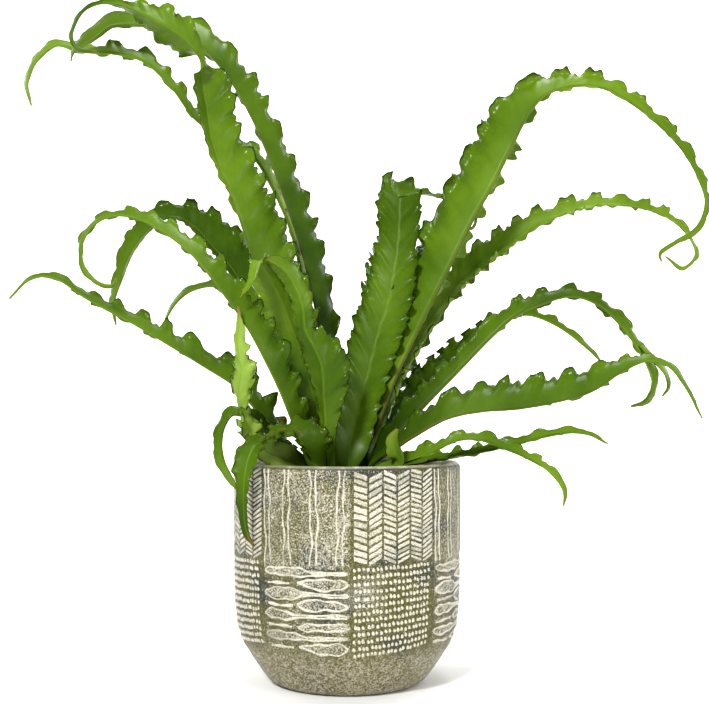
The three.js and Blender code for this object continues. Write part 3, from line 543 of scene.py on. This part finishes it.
def relief_material():
    """Cream glaze on the raised strokes and dots, rubbed through in places"""
    n = Nodes("pot_glaze_relief")
    patches = n.maths("ADD", n.between(n.noise(32), 0.45, 0.75, 0, 0.3), 0.06)
    rubbed = n.maths("ADD", n.noise(1400, 4), n.times(n.value("worn"), patches))
    tint = n.mix(n.noise(260), GLAZE_CREAM, GLAZE_PALE)
    colour = n.mix(n.times(n.between(rubbed, 0.54, 0.6), 0.8), tint, GLAZE_GREY)
    colour = n.mix(n.value("foot"), colour, GLAZE_DARK)
    return n.finish(colour, 0.6, n.bump(n.noise(700), 0.1, 0.6))


def soil_material():
    n = Nodes("potting_mix")
    colour = n.mix(n.noise(180, 4), (0.012, 0.007, 0.004), (0.070, 0.040, 0.022))
    colour = n.mix(n.between(n.noise(420), 0.66, 0.72), colour, (0.200, 0.140, 0.085))
    return n.finish(colour, 0.95, n.bump(n.noise(500, 4), 0.7, 1.0))


def crown_material():
    n = Nodes("crown_fibres")
    colour = n.mix(n.noise(240, 3), (0.030, 0.016, 0.007), (0.150, 0.085, 0.035))
    return n.finish(colour, 0.85, n.bump(n.noise(600, 3), 0.4, 1.0))


# Fronds

def bend(first, last, start, end, f):
    """The curve from the first to the last value with the given slopes, at a share f of the way"""
    step = last - first
    return first + start * f + (3 * step - 2 * start - end) * f**2 + (start + end - 2 * step) * f**3


def through(points, t):
    """Points on the centripetal curve through the given points, at places t from 0 to 1"""
    last = len(points) - 1
    place = np.clip(t, 0, 1) * last
    i = np.minimum(place.astype(int), last - 1)
    f = (place - i)[:, None]
    padded = np.vstack([2 * points[0] - points[1], points, 2 * points[-1] - points[-2]])
    p0, p1, p2, p3 = (padded[i + k] for k in range(4))
    d0, d1, d2 = (np.sqrt(np.linalg.norm(b - a, axis=1))[:, None] for a, b in ((p0, p1), (p1, p2), (p2, p3)))
    start = ((p1 - p0) / d0 - (p2 - p0) / (d0 + d1) + (p2 - p1) / d1) * d1
    end = ((p2 - p1) / d1 - (p3 - p1) / (d1 + d2) + (p3 - p2) / d2) * d1
    return bend(p1, p2, start, end, f)


def value_at(values, place):
    """Smooth values through a list of numbers, at places counted in rows"""
    last = len(values) - 1
    i = np.minimum(place.astype(int), last - 1)
    f = place - i
    before, here = values[np.maximum(i - 1, 0)], values[i]
    there, after = values[i + 1], values[np.minimum(i + 2, last)]
    return bend(here, there, (there - before) / 2, (after - here) / 2, f)


def with_collar(route):
    """The route with a straight stretch where the stipe stands in the crown"""
    route = np.array(route, float)
    collar = route[0] + STIPE_STRAIGHT * (route[1] - route[0])
    collar[3:] = route[0, 3:]
    return np.vstack([route[0], collar, route[1:]])


def stations(frond, route):
    """Rows along the blade: centre, three directions and width, and how far along the frond they are"""
    points = route[:, :3]
    t = np.linspace(0, 1, (len(route) - 1) * 40 + 1)
    path = through(points, t)
    measured = np.concatenate([[0], np.cumsum(np.linalg.norm(np.diff(path, axis=0), axis=1))])
    along = np.linspace(0, measured[-1], int(measured[-1] / STATION_PITCH) + 2)
    t = np.interp(along, measured, t)
    heading = unit(through(points, t + 1e-4) - through(points, t - 1e-4))
    out = math.radians(frond["out"])
    across = np.array([-math.sin(out), math.cos(out), 0])
    side = unit(across - heading * (heading @ across)[:, None])
    place = t * (len(route) - 1)
    lean = np.radians(value_at(route[:, 4], place)) * (-1 if math.cos(out) < 0 else 1)
    side = side * np.cos(lean)[:, None] + np.cross(heading, side) * np.sin(lean)[:, None]
    width = np.maximum(LEAST_WIDTH, value_at(route[:, 3], place))
    width = width * np.sqrt(np.clip((along[-1] - along) / TIP_LENGTH, 0.02, 1))
    return through(points, t), heading, side, np.cross(heading, side), width, along


def margin_columns(frond, broad):
    """For each line along the blade: which side it is on, and how far out from the rib, 0 to 1"""
    sides, shares = [], []
    for side in (-1, 1):
        hidden = min(side * place for place in frond["rib"]) > 0.6
        count = BROAD_LINES if broad and not hidden else NARROW_LINES
        step = np.linspace(0, 1, count + 1)[1:]
        sides.append(np.full(count, side))
        shares.append(1.45 * step - 0.45 * step**2)
    return (np.concatenate([sides[0], [1], sides[1]])[None, :],
            np.concatenate([shares[0][::-1], [0], shares[1]])[None, :])


def margin_waves(frond, along, part, reach, phase):
    """The waves' angle along the margin, and how far each place is in a crest and in a trough"""
    wander = 1.1 * np.sin(along / 15 + 2 * phase) + 0.5 * np.sin(along / 7.1 - phase)
    travel = along - FLUTE_SLANT * reach + frond["quick"] * np.clip(part - 0.5, 0, 0.4)
    wave = math.pi * travel / frond["lobes"] + wander + phase
    swell = frond["round"] * ramp(part, 0.3, 0.5)
    swing = (np.sin(wave) + swell) / (1 + swell)
    return wave, np.clip(swing, 0, 1), np.clip(-swing, 0, 1)


def frilled(frond, which, far, along, lift):
    """The margin's lift with its frills, how far these slip along it and how brown their crests are"""
    slip, crisp = 0, 0 * far
    for side, start, end, pitch, height in frond["frills"]:
        share = (which == side) * ramp(along, start, start + 8)
        share = share * (1 - ramp(along, end - 8, end)) * far**8
        turn = math.tau * along / pitch + 0.9 * np.sin(along / 6)
        crisp = np.maximum(crisp, share * np.clip(np.sin(turn + 1), 0, 1) * frond["crisp"])
        lift = lift * (1 - share) + height * share * np.sin(turn)
        slip = slip - 0.3 * pitch * share * np.sin(2 * turn)
    return lift, slip, crisp


def rolled(frond, far, room_width, size, crest):
    """How far in and up the lobes' ends go where they roll over"""
    rolls = 0 if frond["frills"] else frond["roll"]
    outer = np.clip((far - ROLL_START) / (1 - ROLL_START), 0, 1)
    flap = ((1 - ROLL_START) * room_width + LOBE_BITE * size / 2) * outer
    turn = ROLL_TURN * rolls * size * crest**0.6 * outer + 1e-6
    up = flap * (1 - np.cos(turn)) / turn - rolls * LOBE_CURL * far**4 * crest**0.6 * size
    return flap * (1 - np.sin(turn) / turn), up


def pleated(frond, far, along, width, waves, phase):
    """How high the small slanting folds across the blade are"""
    turn = math.tau * (along - 0.5 * far * width) / PLEAT_LENGTH + phase
    height = PLEAT_HEIGHT * frond["pleat"] * np.clip(width / PLEAT_WIDTH, 0, 1) * waves
    return height * (np.sin(turn) + 0.6 * np.sin(1.7 * turn + 2 * phase)) * 4 * far * (1 - 0.8 * far)


def blade_grid(frond, route):
    """The blade's middle surface as rows of points, with the numbers that its look needs"""
    centre, heading, side, upper, width, along = stations(frond, route)
    part = along[:, None] / along[-1]
    which, far = margin_columns(frond, route[:, 3].max() > BROAD_BLADE)
    along, width = along[:, None], width[:, None]
    width = width + frond["spread"] * ramp(along, 8, 26) * (1 - ramp(along, 40, 85))
    spread = ramp(along, BLADE_STARTS, BLADE_FULL)
    rib = np.interp(part, np.linspace(0, 1, len(frond["rib"])), frond["rib"]) * spread
    room = 1 - which * rib
    hidden = np.clip(which * rib, 0, 1)
    reach = far * room * width / 2

    waves = ramp(along, WAVES_START, WAVES_FULL) * frond["waves"]
    waves = waves * (1 - 0.75 * ramp(part, frond["calm"], frond["calm"] + 0.12))
    phase = frond["wave"] + np.where(which > 0, SIDES_APART, 0)
    wave, crest, trough = margin_waves(frond, along, part, reach, phase)
    vary = 0.9 + 0.3 * np.sin(along / 8.3 + 3 * phase) * np.cos(along / 19 - phase)
    size = np.clip(width / FULL_WAVES_WIDTH, 0.3, 1) * waves * vary
    knob = np.clip(frond["knob"] + 0.3 * np.sin(along / 11 + 2 * phase), 0, 1)
    cusps = (1 - np.abs(np.sin(1.5 * wave + phase))) ** 2
    outline = knob * crest**0.45 + (1 - knob) * crest**2.5 + 0.6 * trough**4 + (0.4 - 0.35 * knob) * cusps
    outline = (outline - 0.45) * size
    curl = (crest**0.6 - trough**0.8 + 0.2 * np.sin(3 * wave + 1)) * size

    lift = LOBE_CURL * far**4 * curl + RUFFLE_HEIGHT * far**6 * size * np.sin(2.7 * wave + 3 * phase)
    lift, frill_slip, crisp = frilled(frond, which, far, along, lift)
    lift = lift + pleated(frond, far, along, width, waves, phase)
    roll_in, roll_up = rolled(frond, far, room * width / 2, size, crest)
    shift = LOBE_BITE * far**4 * outline - 0.3 * np.abs(lift + roll_up) * far**3 - roll_in
    slip = (2.6 - 1.6 * knob) * far**3 * outline + frill_slip
    aside = np.abs(rib)
    fold = FOLD * spread * (1 - aside)
    sideways = rib * width / 2 + which * (reach * np.cos(fold) + shift) * (1 - hidden)
    rise = 0.06 * width * aside * np.sin(math.pi * far) + lift + roll_up
    rise = (far - 1) * width * np.sin(fold) / 2 + rise * (1 - hidden)

    peek = frond["peek"] * ramp(along, 100, 170)
    outward = which * hidden * (lift * peek + 0.2 * far)
    hidden_width = HIDDEN_WIDTH * (0.3 + 0.7 * ramp(along, 60, 150))
    backward = hidden_width * far * hidden * width / 2
    behind = unit(BACKWARD - heading * (heading @ BACKWARD)[:, None])
    beside = np.cross(behind, heading)
    beside = beside * np.sign((beside * side).sum(axis=1))[:, None]
    directions = (side, upper, heading, behind, beside)
    grid = centre[:, None]
    for direction, amount in zip(directions, (sideways, rise, slip, backward, outward)):
        grid = grid + direction[:, None] * (amount + 0 * far)[..., None]
    return grid, far, along, {
        "across": far * width / 2 * (room * (1 - hidden) + hidden_width * hidden),
        "edge": far * (1 - 0.85 * np.clip(2 * hidden, 0, 1)),
        # shade: how much painted shade darkens the troughs between the lobes near the margin
        "shade": far**3 * (1 - far**12) * np.clip(0.25 - curl, 0, 1),
        "crisp": crisp,
    }


def blade(frond, route, is_fork=False):
    """Points, faces and values of a closed blade, with the rib standing out of its lower face"""
    grid, far, along, looks = blade_grid(frond, route)
    length, shape = along[-1], grid.shape[:2]
    normal = unit(np.cross(np.gradient(grid, axis=0), np.gradient(grid, axis=1)))
    stem = 0 * along if is_fork else 1 - ramp(along, BLADE_STARTS, BLADE_FULL)
    half = MARGIN_THICKNESS / 2 + 0.14 * (1 - far**2)
    ridge = np.exp(-((looks["across"] / RIB_WIDTH) ** 2)) * (1 - 0.6 * along / length)
    round_stem = STIPE_THICKNESS / 2 * stem * np.sqrt(1 - 0.8 * far**2)
    layers = []
    for way, rib_rise in zip((1, -1), RIB_RISES):
        depth = (half + rib_rise * ridge) * (1 - stem) + round_stem
        layers.append((grid + way * normal * depth[..., None]).reshape(-1, 3))
    top = numbered(*shape)
    low = top + top.size
    faces = [quads(top, flipped=True), quads(low)]
    faces += [quads(np.stack(ends, 1)) for ends in ((top[:, 0], low[:, 0]), (low[:, -1], top[:, -1]))]
    faces += [quads(np.stack(ends)) for ends in ((top[0], low[0]), (low[-1], top[-1]))]
    if is_fork:
        along, length = along + FORK_PLACE, length + FORK_PLACE
    looks["along"] = along
    looks["tip"] = np.maximum(ramp(along, length * 0.6, length) * frond["fade"], frond["pale"])
    looks["dry"] = np.maximum(ramp(along, length - 9, length - 2) * frond["dry"], looks.pop("crisp"))
    looks["brown"] = (1 - ramp(along, length * 0.35, length * 0.75)) * frond["brown"]
    values = {key: np.tile(np.broadcast_to(value, shape).ravel(), 2) for key, value in looks.items()}
    return np.concatenate(layers), np.concatenate(faces), values


def make_frond(name, frond):
    blades = [blade(frond, with_collar(frond["route"]))]
    if "fork" in frond:
        blades.append(blade(frond, np.array(frond["fork"], float), is_fork=True))
    points, faces = joined([made[:2] for made in blades])
    values = {key: np.concatenate([made[2][key] for made in blades]) for key in blades[0][2]}
    material = leaf_material("leaf_" + name, frond["tone"], frond["dark"], frond["line"])
    part_of(make_piece("leaf_" + name, points, faces, material, values), "frond", "frond_" + name)


# Pot

def pot_radius(z):
    heights, radii = zip(*POT_OUTSIDE)
    return np.interp(z, heights, radii)


def round_pot(angle, radius, z):
    """Points round the pot's axis; the angle is from the front, to the right"""
    return np.stack([radius * np.sin(angle), -radius * np.cos(angle), z + 0 * angle], axis=-1)


def on_pot(across, z, height=0):
    """Points on the pot's outside; across is in millimetres round the pot from its front, to the right"""
    return round_pot(across / POT_RADIUS, pot_radius(z) + height, z)


def is_herringbone(across):
    """Whether a place is in a panel of herringbone above dots, or else of wavy lines above lenses"""
    return np.floor((across / POT_RADIUS - FIRST_PANEL) / PANEL_TURN).astype(int) % 2 == 0


def glaze_values(radius, z, across):
    """How dense the cream speckle is, and where the plain foot and the rim are"""
    outside = (radius >= pot_radius(z) * 0.99) & (z < POT_HEIGHT - 0.2)
    upper = ramp(z, 77, 79)
    lens = lens_share((across / POT_RADIUS - FIRST_PANEL) % PANEL_TURN * POT_RADIUS, z)
    cream = 0.32 + 0.12 * upper + 0.2 * lens * (1 - upper)
    cream = np.where(is_herringbone(across), 0.23 + 0.05 * upper, cream)
    cream = cream * (1 - 0.9 * ramp(z, POT_HEIGHT - 2.2, POT_HEIGHT - 1.6)) - 0.08 * (1 - ramp(z, 22, 34))
    rim = ramp(z, POT_HEIGHT - 1.2, POT_HEIGHT - 0.6)
    return {
        "cream": np.where(outside, cream, 0.7),
        "plain": np.where(outside, 1 - ramp(z, 20, 36), 0.4),
        "rim": np.where(outside, rim, np.maximum(rim, 0.6)),
    }


def make_pot():
    heights = np.concatenate([np.linspace(0, 12, 9), np.linspace(14, POT_HEIGHT - 3, POT_ROWS)])
    profile = POT_UNDERSIDE + [(z, pot_radius(z)) for z in heights]
    for angle in np.linspace(0, math.pi, 9):
        radius = POT_RADIUS - POT_WALL / 2 + POT_WALL / 2 * math.cos(angle)
        profile.append((POT_HEIGHT - RIM_ROUND + RIM_ROUND * math.sin(angle), radius))
    profile += [(z, pot_radius(z) - POT_WALL) for z in np.linspace(POT_HEIGHT - 4, POT_FLOOR + 8, 40)]
    profile += POT_INSIDE_BOTTOM
    angle = np.linspace(0, math.tau, POT_SIDES, endpoint=False)
    z, radius = (np.array(column)[:, None] for column in zip(*profile))
    radius = radius * (1 + UNROUND * np.sin(2 * angle + 0.7) * (radius > 60))
    points = round_pot(angle, radius, z).reshape(-1, 3)
    across = POT_RADIUS * np.where(angle > math.pi, angle - math.tau, angle)[None, :]
    faces = quads(numbered(len(profile), POT_SIDES, closed=True))
    body = make_piece("pot_body", points, faces, pot_material(), glaze_values(radius, z, across))
    part_of(body, "pot_glaze", "pot")


class Relief:
    """Gathers raised strokes and dots on the pot's outside"""

    def __init__(self):
        self.blocks, self.worn, self.foot = [], [], []
        self.random = random.Random(SEED)
        self.wear = 1

    def grid(self, points, foot, closed=False):
        """A block of points in rows; foot is 1 where the glaze is dark along the edges"""
        rows, columns = points.shape[:2]
        cells = numbered(rows, columns)
        if closed:
            cells = np.vstack([cells, cells[:1]])
        self.blocks.append((points.reshape(-1, 3), quads(cells)))
        self.worn.append(np.full(rows * columns, self.random.random() * self.wear))
        self.foot.append(np.broadcast_to(foot, (rows, columns)).ravel())

    def stroke(self, across, z, width, closed=False):
        """A raised line through the given places, with its edges sunk into the pot"""
        place = np.stack([across, z], axis=-1)
        if closed:
            heading = np.roll(place, -1, axis=0) - np.roll(place, 1, axis=0)
        else:
            heading = np.gradient(place, axis=0)
        heading = unit(heading)
        sideways = np.stack([-heading[:, 1], heading[:, 0]], axis=-1)
        section = np.array([-1, -0.72, 0, 0.72, 1]) * np.reshape(width, (-1, 1)) / 2
        spread = place[:, None] + sideways[:, None] * section[..., None]
        level = np.tile([SUNK, 0.75, 1, 0.75, SUNK], (len(place), 1))
        if not closed:
            level[[0, -1]] = SUNK
        points = on_pot(spread[..., 0], spread[..., 1], level * RELIEF_HEIGHT)
        self.grid(points, [1, 0, 0, 0, 1], closed)

    def plate(self, across, low, high):
        """A raised patch between a lower and an upper line, with its edges sunk into the pot"""
        share = np.array([0, 0.12, 0.5, 0.88, 1])
        z = low[:, None] + (high - low)[:, None] * share
        level = np.tile([SUNK, 0.8, 1, 0.8, SUNK], (len(across), 1))
        level[[0, -1]] = SUNK
        self.grid(on_pot(across[:, None] + 0 * z, z, level * RELIEF_HEIGHT), level < 0)

    def dot(self, across, z, width, length, tilt):
        """An egg-shaped dot with eight sides"""
        turn = np.linspace(0, math.tau, 8, endpoint=False)
        share = np.array([1, 0.88, 0.5, 0.02])[:, None]
        level = np.array([-0.3, 0.7, 0.95, 1])[:, None] * RELIEF_HEIGHT
        x = share * np.cos(turn) * width / 2 * (1 - 0.35 * np.sin(turn))
        x, y = turned(x, share * np.sin(turn) * length / 2, tilt)
        points = on_pot(across + x, z + y, level + 0 * x)
        points = np.concatenate([points, points[:, :1]], axis=1)
        self.grid(points[:, ::-1], level < 0)


def wavy_lines(relief, start):
    low, high = UPPER_BAND
    for pair in WAVY_PAIRS:
        for side in (-0.5, 0.5):
            phase = relief.random.uniform(0, 6.28)
            z = np.linspace(low - 1.5, high, 46)
            kink = 0.55 * np.sin(z / 5.2 + phase) + 0.35 * np.sin(z / 2.7 + 2 * phase)
            kink = kink + 0.5 * np.sin(z / 17 + pair)
            width = WAVY_WIDTH + 0.3 * np.sin(z / 3.1 + phase)
            relief.stroke(start + pair + side * WAVY_PAIR_GAP + kink, z, width)


def herringbone(relief, start):
    low, high = UPPER_BAND
    draw = relief.random.uniform
    half_column = PANEL_INSIDE / len(CHEVRONS) / 2
    share = np.array([-1, -0.9, -0.6, -0.2, 0.2, 0.6, 0.9, 1])
    for column, (pitch, rise) in enumerate(CHEVRONS):
        across = start + PANEL_MARGIN + (2 * column + 1) * half_column + share * (half_column - CHEVRON_GAP)
        z = low + 1.5 + draw(0, 1.5)
        while z < high - 1.5:
            step = pitch * draw(0.85, 1.15)
            middle = z + share * (rise + draw(-0.3, 0.3))
            uneven = 1 + 0.1 * np.sin(5 * share + z) + 0.08 * np.sin(9 * share - 2 * z)
            half = (step - STROKE_GAP) / 2 * uneven
            relief.plate(across, middle - half, np.minimum(middle + half, high))
            z += step


def lens_line(row):
    """The middle height of a row of lenses, and whether it is a long one with its bulb on the left"""
    return LOWER_BAND[0] + LENS_START + row * LENS_PITCH, row % 2 == 1


def lens_half(row, share):
    """Half the height of a row's outline, at shares of the panel's width from its left"""
    is_long = lens_line(row)[1]
    from_bulb = share if is_long else 1 - share
    end = 0.36 + 0.09 * math.sin(3.7 * row)
    bulb = ramp(from_bulb, 0, 0.12) * (1 - ramp(from_bulb, end, end + 0.22))
    bulb = bulb * (1 + 0.22 * math.sin(5.1 * row + 1))
    uneven = 1 + 0.18 * np.sin(9 * share + 2.3 * row) + 0.14 * np.sin(31 * share + 1.7 * row)
    half = (LENS_TAIL + (LENS_BULB - LENS_TAIL) * bulb) * uneven
    return half if is_long else half * ramp(share, SHORT_LENS_START - 0.05, SHORT_LENS_START + 0.1)


def lens_share(across, z):
    """1 inside the lenses and 0 between them, for places across a panel and heights"""
    nearest = np.round((z - lens_line(0)[0]) / LENS_PITCH)
    inside = 0 * (across + z)
    for row in range(LENS_ROWS):
        off = np.abs(z - lens_line(row)[0]) - lens_half(row, across / PANEL_WIDTH)
        inside = np.where(np.clip(nearest, 0, LENS_ROWS - 1) == row, 1 - ramp(off, -0.4, 0.8), inside)
    return inside


def lens_middle(row, x):
    return lens_line(row)[0] + 0.35 * np.sin(x / 7 + row) + 0.2 * np.sin(x / 3.1 + 2 * row)


def lenses(relief, start):
    """Outlines of the lenses, with a stroke on the left of each short one"""
    for row in range(LENS_ROWS):
        is_long = lens_line(row)[1]
        first = 0.03 if is_long else SHORT_LENS_START
        share = np.concatenate([[first, first + 0.005], np.linspace(first + 0.02, 0.95, 34), [0.965, 0.97]])
        x = start + PANEL_WIDTH * share
        half = lens_half(row, share)
        half[[0, -1]] = 0.05
        half[[1, -2]] *= 0.6
        x_loop = np.concatenate([x, x[::-1]])
        z_loop = np.concatenate([lens_middle(row, x) + half, (lens_middle(row, x) - half)[::-1]])
        width = LENS_OUTLINE * (1 + 0.25 * np.sin(x_loop / 2.1 + row) + 0.2 * np.sin(x_loop / 4.7 - row))
        relief.stroke(x_loop, z_loop, width, closed=True)
        if not is_long:
            x = start + PANEL_WIDTH * np.linspace(0.05, first - relief.random.uniform(0.04, 0.1), 22)
            width = BESIDE_LENS_WIDTH + 0.7 * np.sin(x / 1.9 + 2 * row)
            relief.stroke(x, lens_middle(row, x) - 0.4, width)


def dots(relief, start):
    low, high = LOWER_BAND
    draw = relief.random.uniform
    rows = int((high - low) / DOT_ROW_PITCH) + 2
    for row in range(rows):
        rise = np.interp(row, (0, rows - 1), DOT_RISES)
        for column in range(int(PANEL_INSIDE / DOT_PITCH)):
            across = PANEL_MARGIN + 1.2 + column * DOT_PITCH + draw(-0.5, 0.5)
            z = high - row * DOT_ROW_PITCH + rise * across + draw(-0.4, 0.4)
            width = draw(*DOT_WIDTHS)
            relief.dot(start + across, z, width, width * draw(*DOT_LENGTHS), draw(0, 0.5))


def make_relief():
    relief = Relief()
    for panel in range(PANELS):
        start = POT_RADIUS * FIRST_PANEL + panel * PANEL_WIDTH
        if panel % 2 == 0:
            relief.wear = HERRINGBONE_WEAR
            herringbone(relief, start)
            relief.wear = DOT_WEAR
            dots(relief, start)
        else:
            relief.wear = LINE_WEAR
            wavy_lines(relief, start)
            lenses(relief, start)
    values = {"worn": np.concatenate(relief.worn), "foot": np.concatenate(relief.foot)}
    part_of(make_piece("pot_relief", *joined(relief.blocks), relief_material(), values), "pot_glaze")


# Soil and crown

def bumpy(points, size, height, seed=0):
    """How far each point is lifted by a lumpy surface with lumps of the given size"""
    shift = Vector((seed, 0, 0))
    return np.array([height * noise.fractal(Vector(p) / size + shift, 1.0, 2.0, 4) for p in points])


def dome(levels, sides):
    """Rings of points through (radius, height) pairs, with faces between them"""
    angle = np.linspace(0, math.tau, sides, endpoint=False)
    radius, z = (np.array(column, float)[:, None] for column in zip(*levels))
    points = np.stack([radius * np.cos(angle), radius * np.sin(angle), z + 0 * angle], axis=-1)
    return points.reshape(-1, 3), quads(numbered(len(levels), sides, closed=True))


def chip(middle, size, chance):
    """A small lump of bark or grit: an uneven seven-sided stone"""
    points, faces = dome(CHIP_LEVELS, 7)
    stretch = np.array([chance.uniform(0.5, 1.3), chance.uniform(0.5, 1.0), chance.uniform(0.35, 0.7)])
    points = points * (1 + np.array([[chance.uniform(-0.2, 0.2)] for _ in points])) * stretch * size
    x, y = turned(points[:, 0], points[:, 1], chance.uniform(0, 6.28))
    return np.stack([x, y, points[:, 2]], axis=-1) + middle, faces


def make_soil():
    inner = pot_radius(SOIL_TOP) - POT_WALL - SOIL_GAP
    seat = (CROWN_RADIUS - 2, SOIL_TOP - 8)
    levels = [seat, (CROWN_RADIUS - 1, SOIL_TOP - 1)]
    levels += [(radius, SOIL_TOP - 0.5) for radius in np.linspace(CROWN_RADIUS, inner, 32)]
    levels += [(inner, SOIL_TOP - 12), (inner * 0.95, 60), (CROWN_RADIUS, 58), seat]
    points, faces = dome(levels, SOIL_SIDES)
    top = points[:, 2] > SOIL_TOP - 2
    points[top, 2] += bumpy(points[top], 9, 1.3) + bumpy(points[top], 2.5, 0.6, 5)
    chance = random.Random(SEED + 1)
    blocks = [(points, faces)]
    for _ in range(CHIPS):
        radius = math.sqrt(chance.uniform((CROWN_RADIUS + 2) ** 2, (inner - 2) ** 2))
        turn = chance.uniform(0, math.tau)
        middle = [radius * math.cos(turn), radius * math.sin(turn), SOIL_TOP + chance.uniform(-0.3, 0.8)]
        blocks.append(chip(middle, chance.uniform(*CHIP_SIZES), chance))
    part_of(make_piece("potting_mix", *joined(blocks), soil_material()), "potting_soil", "soil")


def crown_height(radius):
    radii, heights = zip(*CROWN_DOME)
    return np.interp(radius, radii, heights)


def fibre(chance):
    """A fibre that comes out of the crown and bends over"""
    radius = CROWN_RADIUS * math.sqrt(chance.uniform(0.02, 1.0)) * 0.97
    turn = chance.uniform(0, math.tau)
    out = np.array([math.cos(turn), math.sin(turn), 0])
    across = np.array([-math.sin(turn), math.cos(turn), 0])
    up = np.array([0, 0, 1])
    long, lift = chance.uniform(3, 9), chance.uniform(2, 6)
    sway, width = chance.uniform(-2.5, 2.5), chance.uniform(0.5, 1.3)
    share = np.linspace(0, 1, FIBRE_POINTS)[:, None]
    path = out * radius + up * (crown_height(radius) - 1) + out * share * long
    path = path + up * lift * np.sin(share * 2.4) + across * sway * share**2
    half = width / 2 * (1 - share**2) + 0.05
    points = np.stack([path - across * half, path + up * half * 0.8, path + across * half], axis=1)
    return points.reshape(-1, 3), quads(numbered(FIBRE_POINTS, 3), flipped=True)


def make_crown():
    levels = [(CROWN_RADIUS * 0.8, SOIL_TOP - 30), (CROWN_RADIUS - 0.5, SOIL_TOP - 10)]
    levels += [(radius, crown_height(radius)) for radius in np.linspace(CROWN_RADIUS, 0.3, 26)]
    points, faces = dome(levels, CROWN_SIDES)
    points[:, 2] += bumpy(points, 7, 1.2, 3) + bumpy(points, 2, 0.5, 8)
    chance = random.Random(SEED + 2)
    blocks = [(points, faces)] + [fibre(chance) for _ in range(FIBRES)]
    part_of(make_piece("crown_fibres", *joined(blocks), crown_material()), "crown_fibre", "crown")


# Stage

def make_camera():
    data = bpy.data.cameras.new("camera")
    data.sensor_width = SENSOR_WIDTH
    data.lens = FOCAL_PIXELS / FRAME_WIDTH * SENSOR_WIDTH
    data.shift_x = SHIFT_RIGHT_PIXELS / FRAME_WIDTH
    data.shift_y = SHIFT_UP_PIXELS / FRAME_WIDTH
    data.clip_start = 0.01
    camera = add("camera", data)
    camera.location = Vector(CAMERA_PLACE) * MM
    camera.rotation_euler = (math.radians(90), 0, 0)
    scene.camera = camera


def make_floor():
    """A pale floor that sweeps up behind the plant"""
    across = np.linspace(-FLOOR_REACH, FLOOR_REACH, 9)
    bends = np.linspace(0, math.pi / 2, 13)
    profile = [(-2 * FLOOR_BEND, 0), (-FLOOR_BEND, 0), (0, 0)]
    profile += [(FLOOR_BEND * (1 + math.sin(bend)), FLOOR_BEND * (1 - math.cos(bend))) for bend in bends]
    profile.append((2 * FLOOR_BEND, FLOOR_REACH))
    points = np.array([(x, y, z) for y, z in profile for x in across])
    n = Nodes("floor")
    colour = n.mix(n.noise(2), (0.86, 0.86, 0.86), (0.9, 0.9, 0.9))
    material = n.finish(colour, 0.9, specular=0.1)
    make_piece("floor", points, quads(numbered(len(profile), len(across))), material)


def make_light(name, place, target, size, watts):
    data = bpy.data.lights.new(name, "AREA")
    data.shape = "SQUARE"
    data.size = size
    data.energy = watts
    light = add(name, data)
    light.location = place
    light.rotation_euler = (Vector(target) - Vector(place)).to_track_quat("-Z", "Y").to_euler()


def make_studio():
    world = bpy.data.worlds.new("studio")
    world.use_nodes = True
    background = world.node_tree.nodes["Background"]
    background.inputs["Color"].default_value = (1, 1, 1, 1)
    background.inputs["Strength"].default_value = WORLD_STRENGTH
    scene.world = world
    for name, light in LIGHTS.items():
        make_light(name, *light)
    scene.view_settings.view_transform = "Standard"
    scene.view_settings.look = "Medium High Contrast"


make_camera()
for name, frond in FRONDS.items():
    make_frond(name, {**USUAL, **frond})
make_pot()
make_relief()
make_soil()
make_crown()
make_floor()
make_studio()
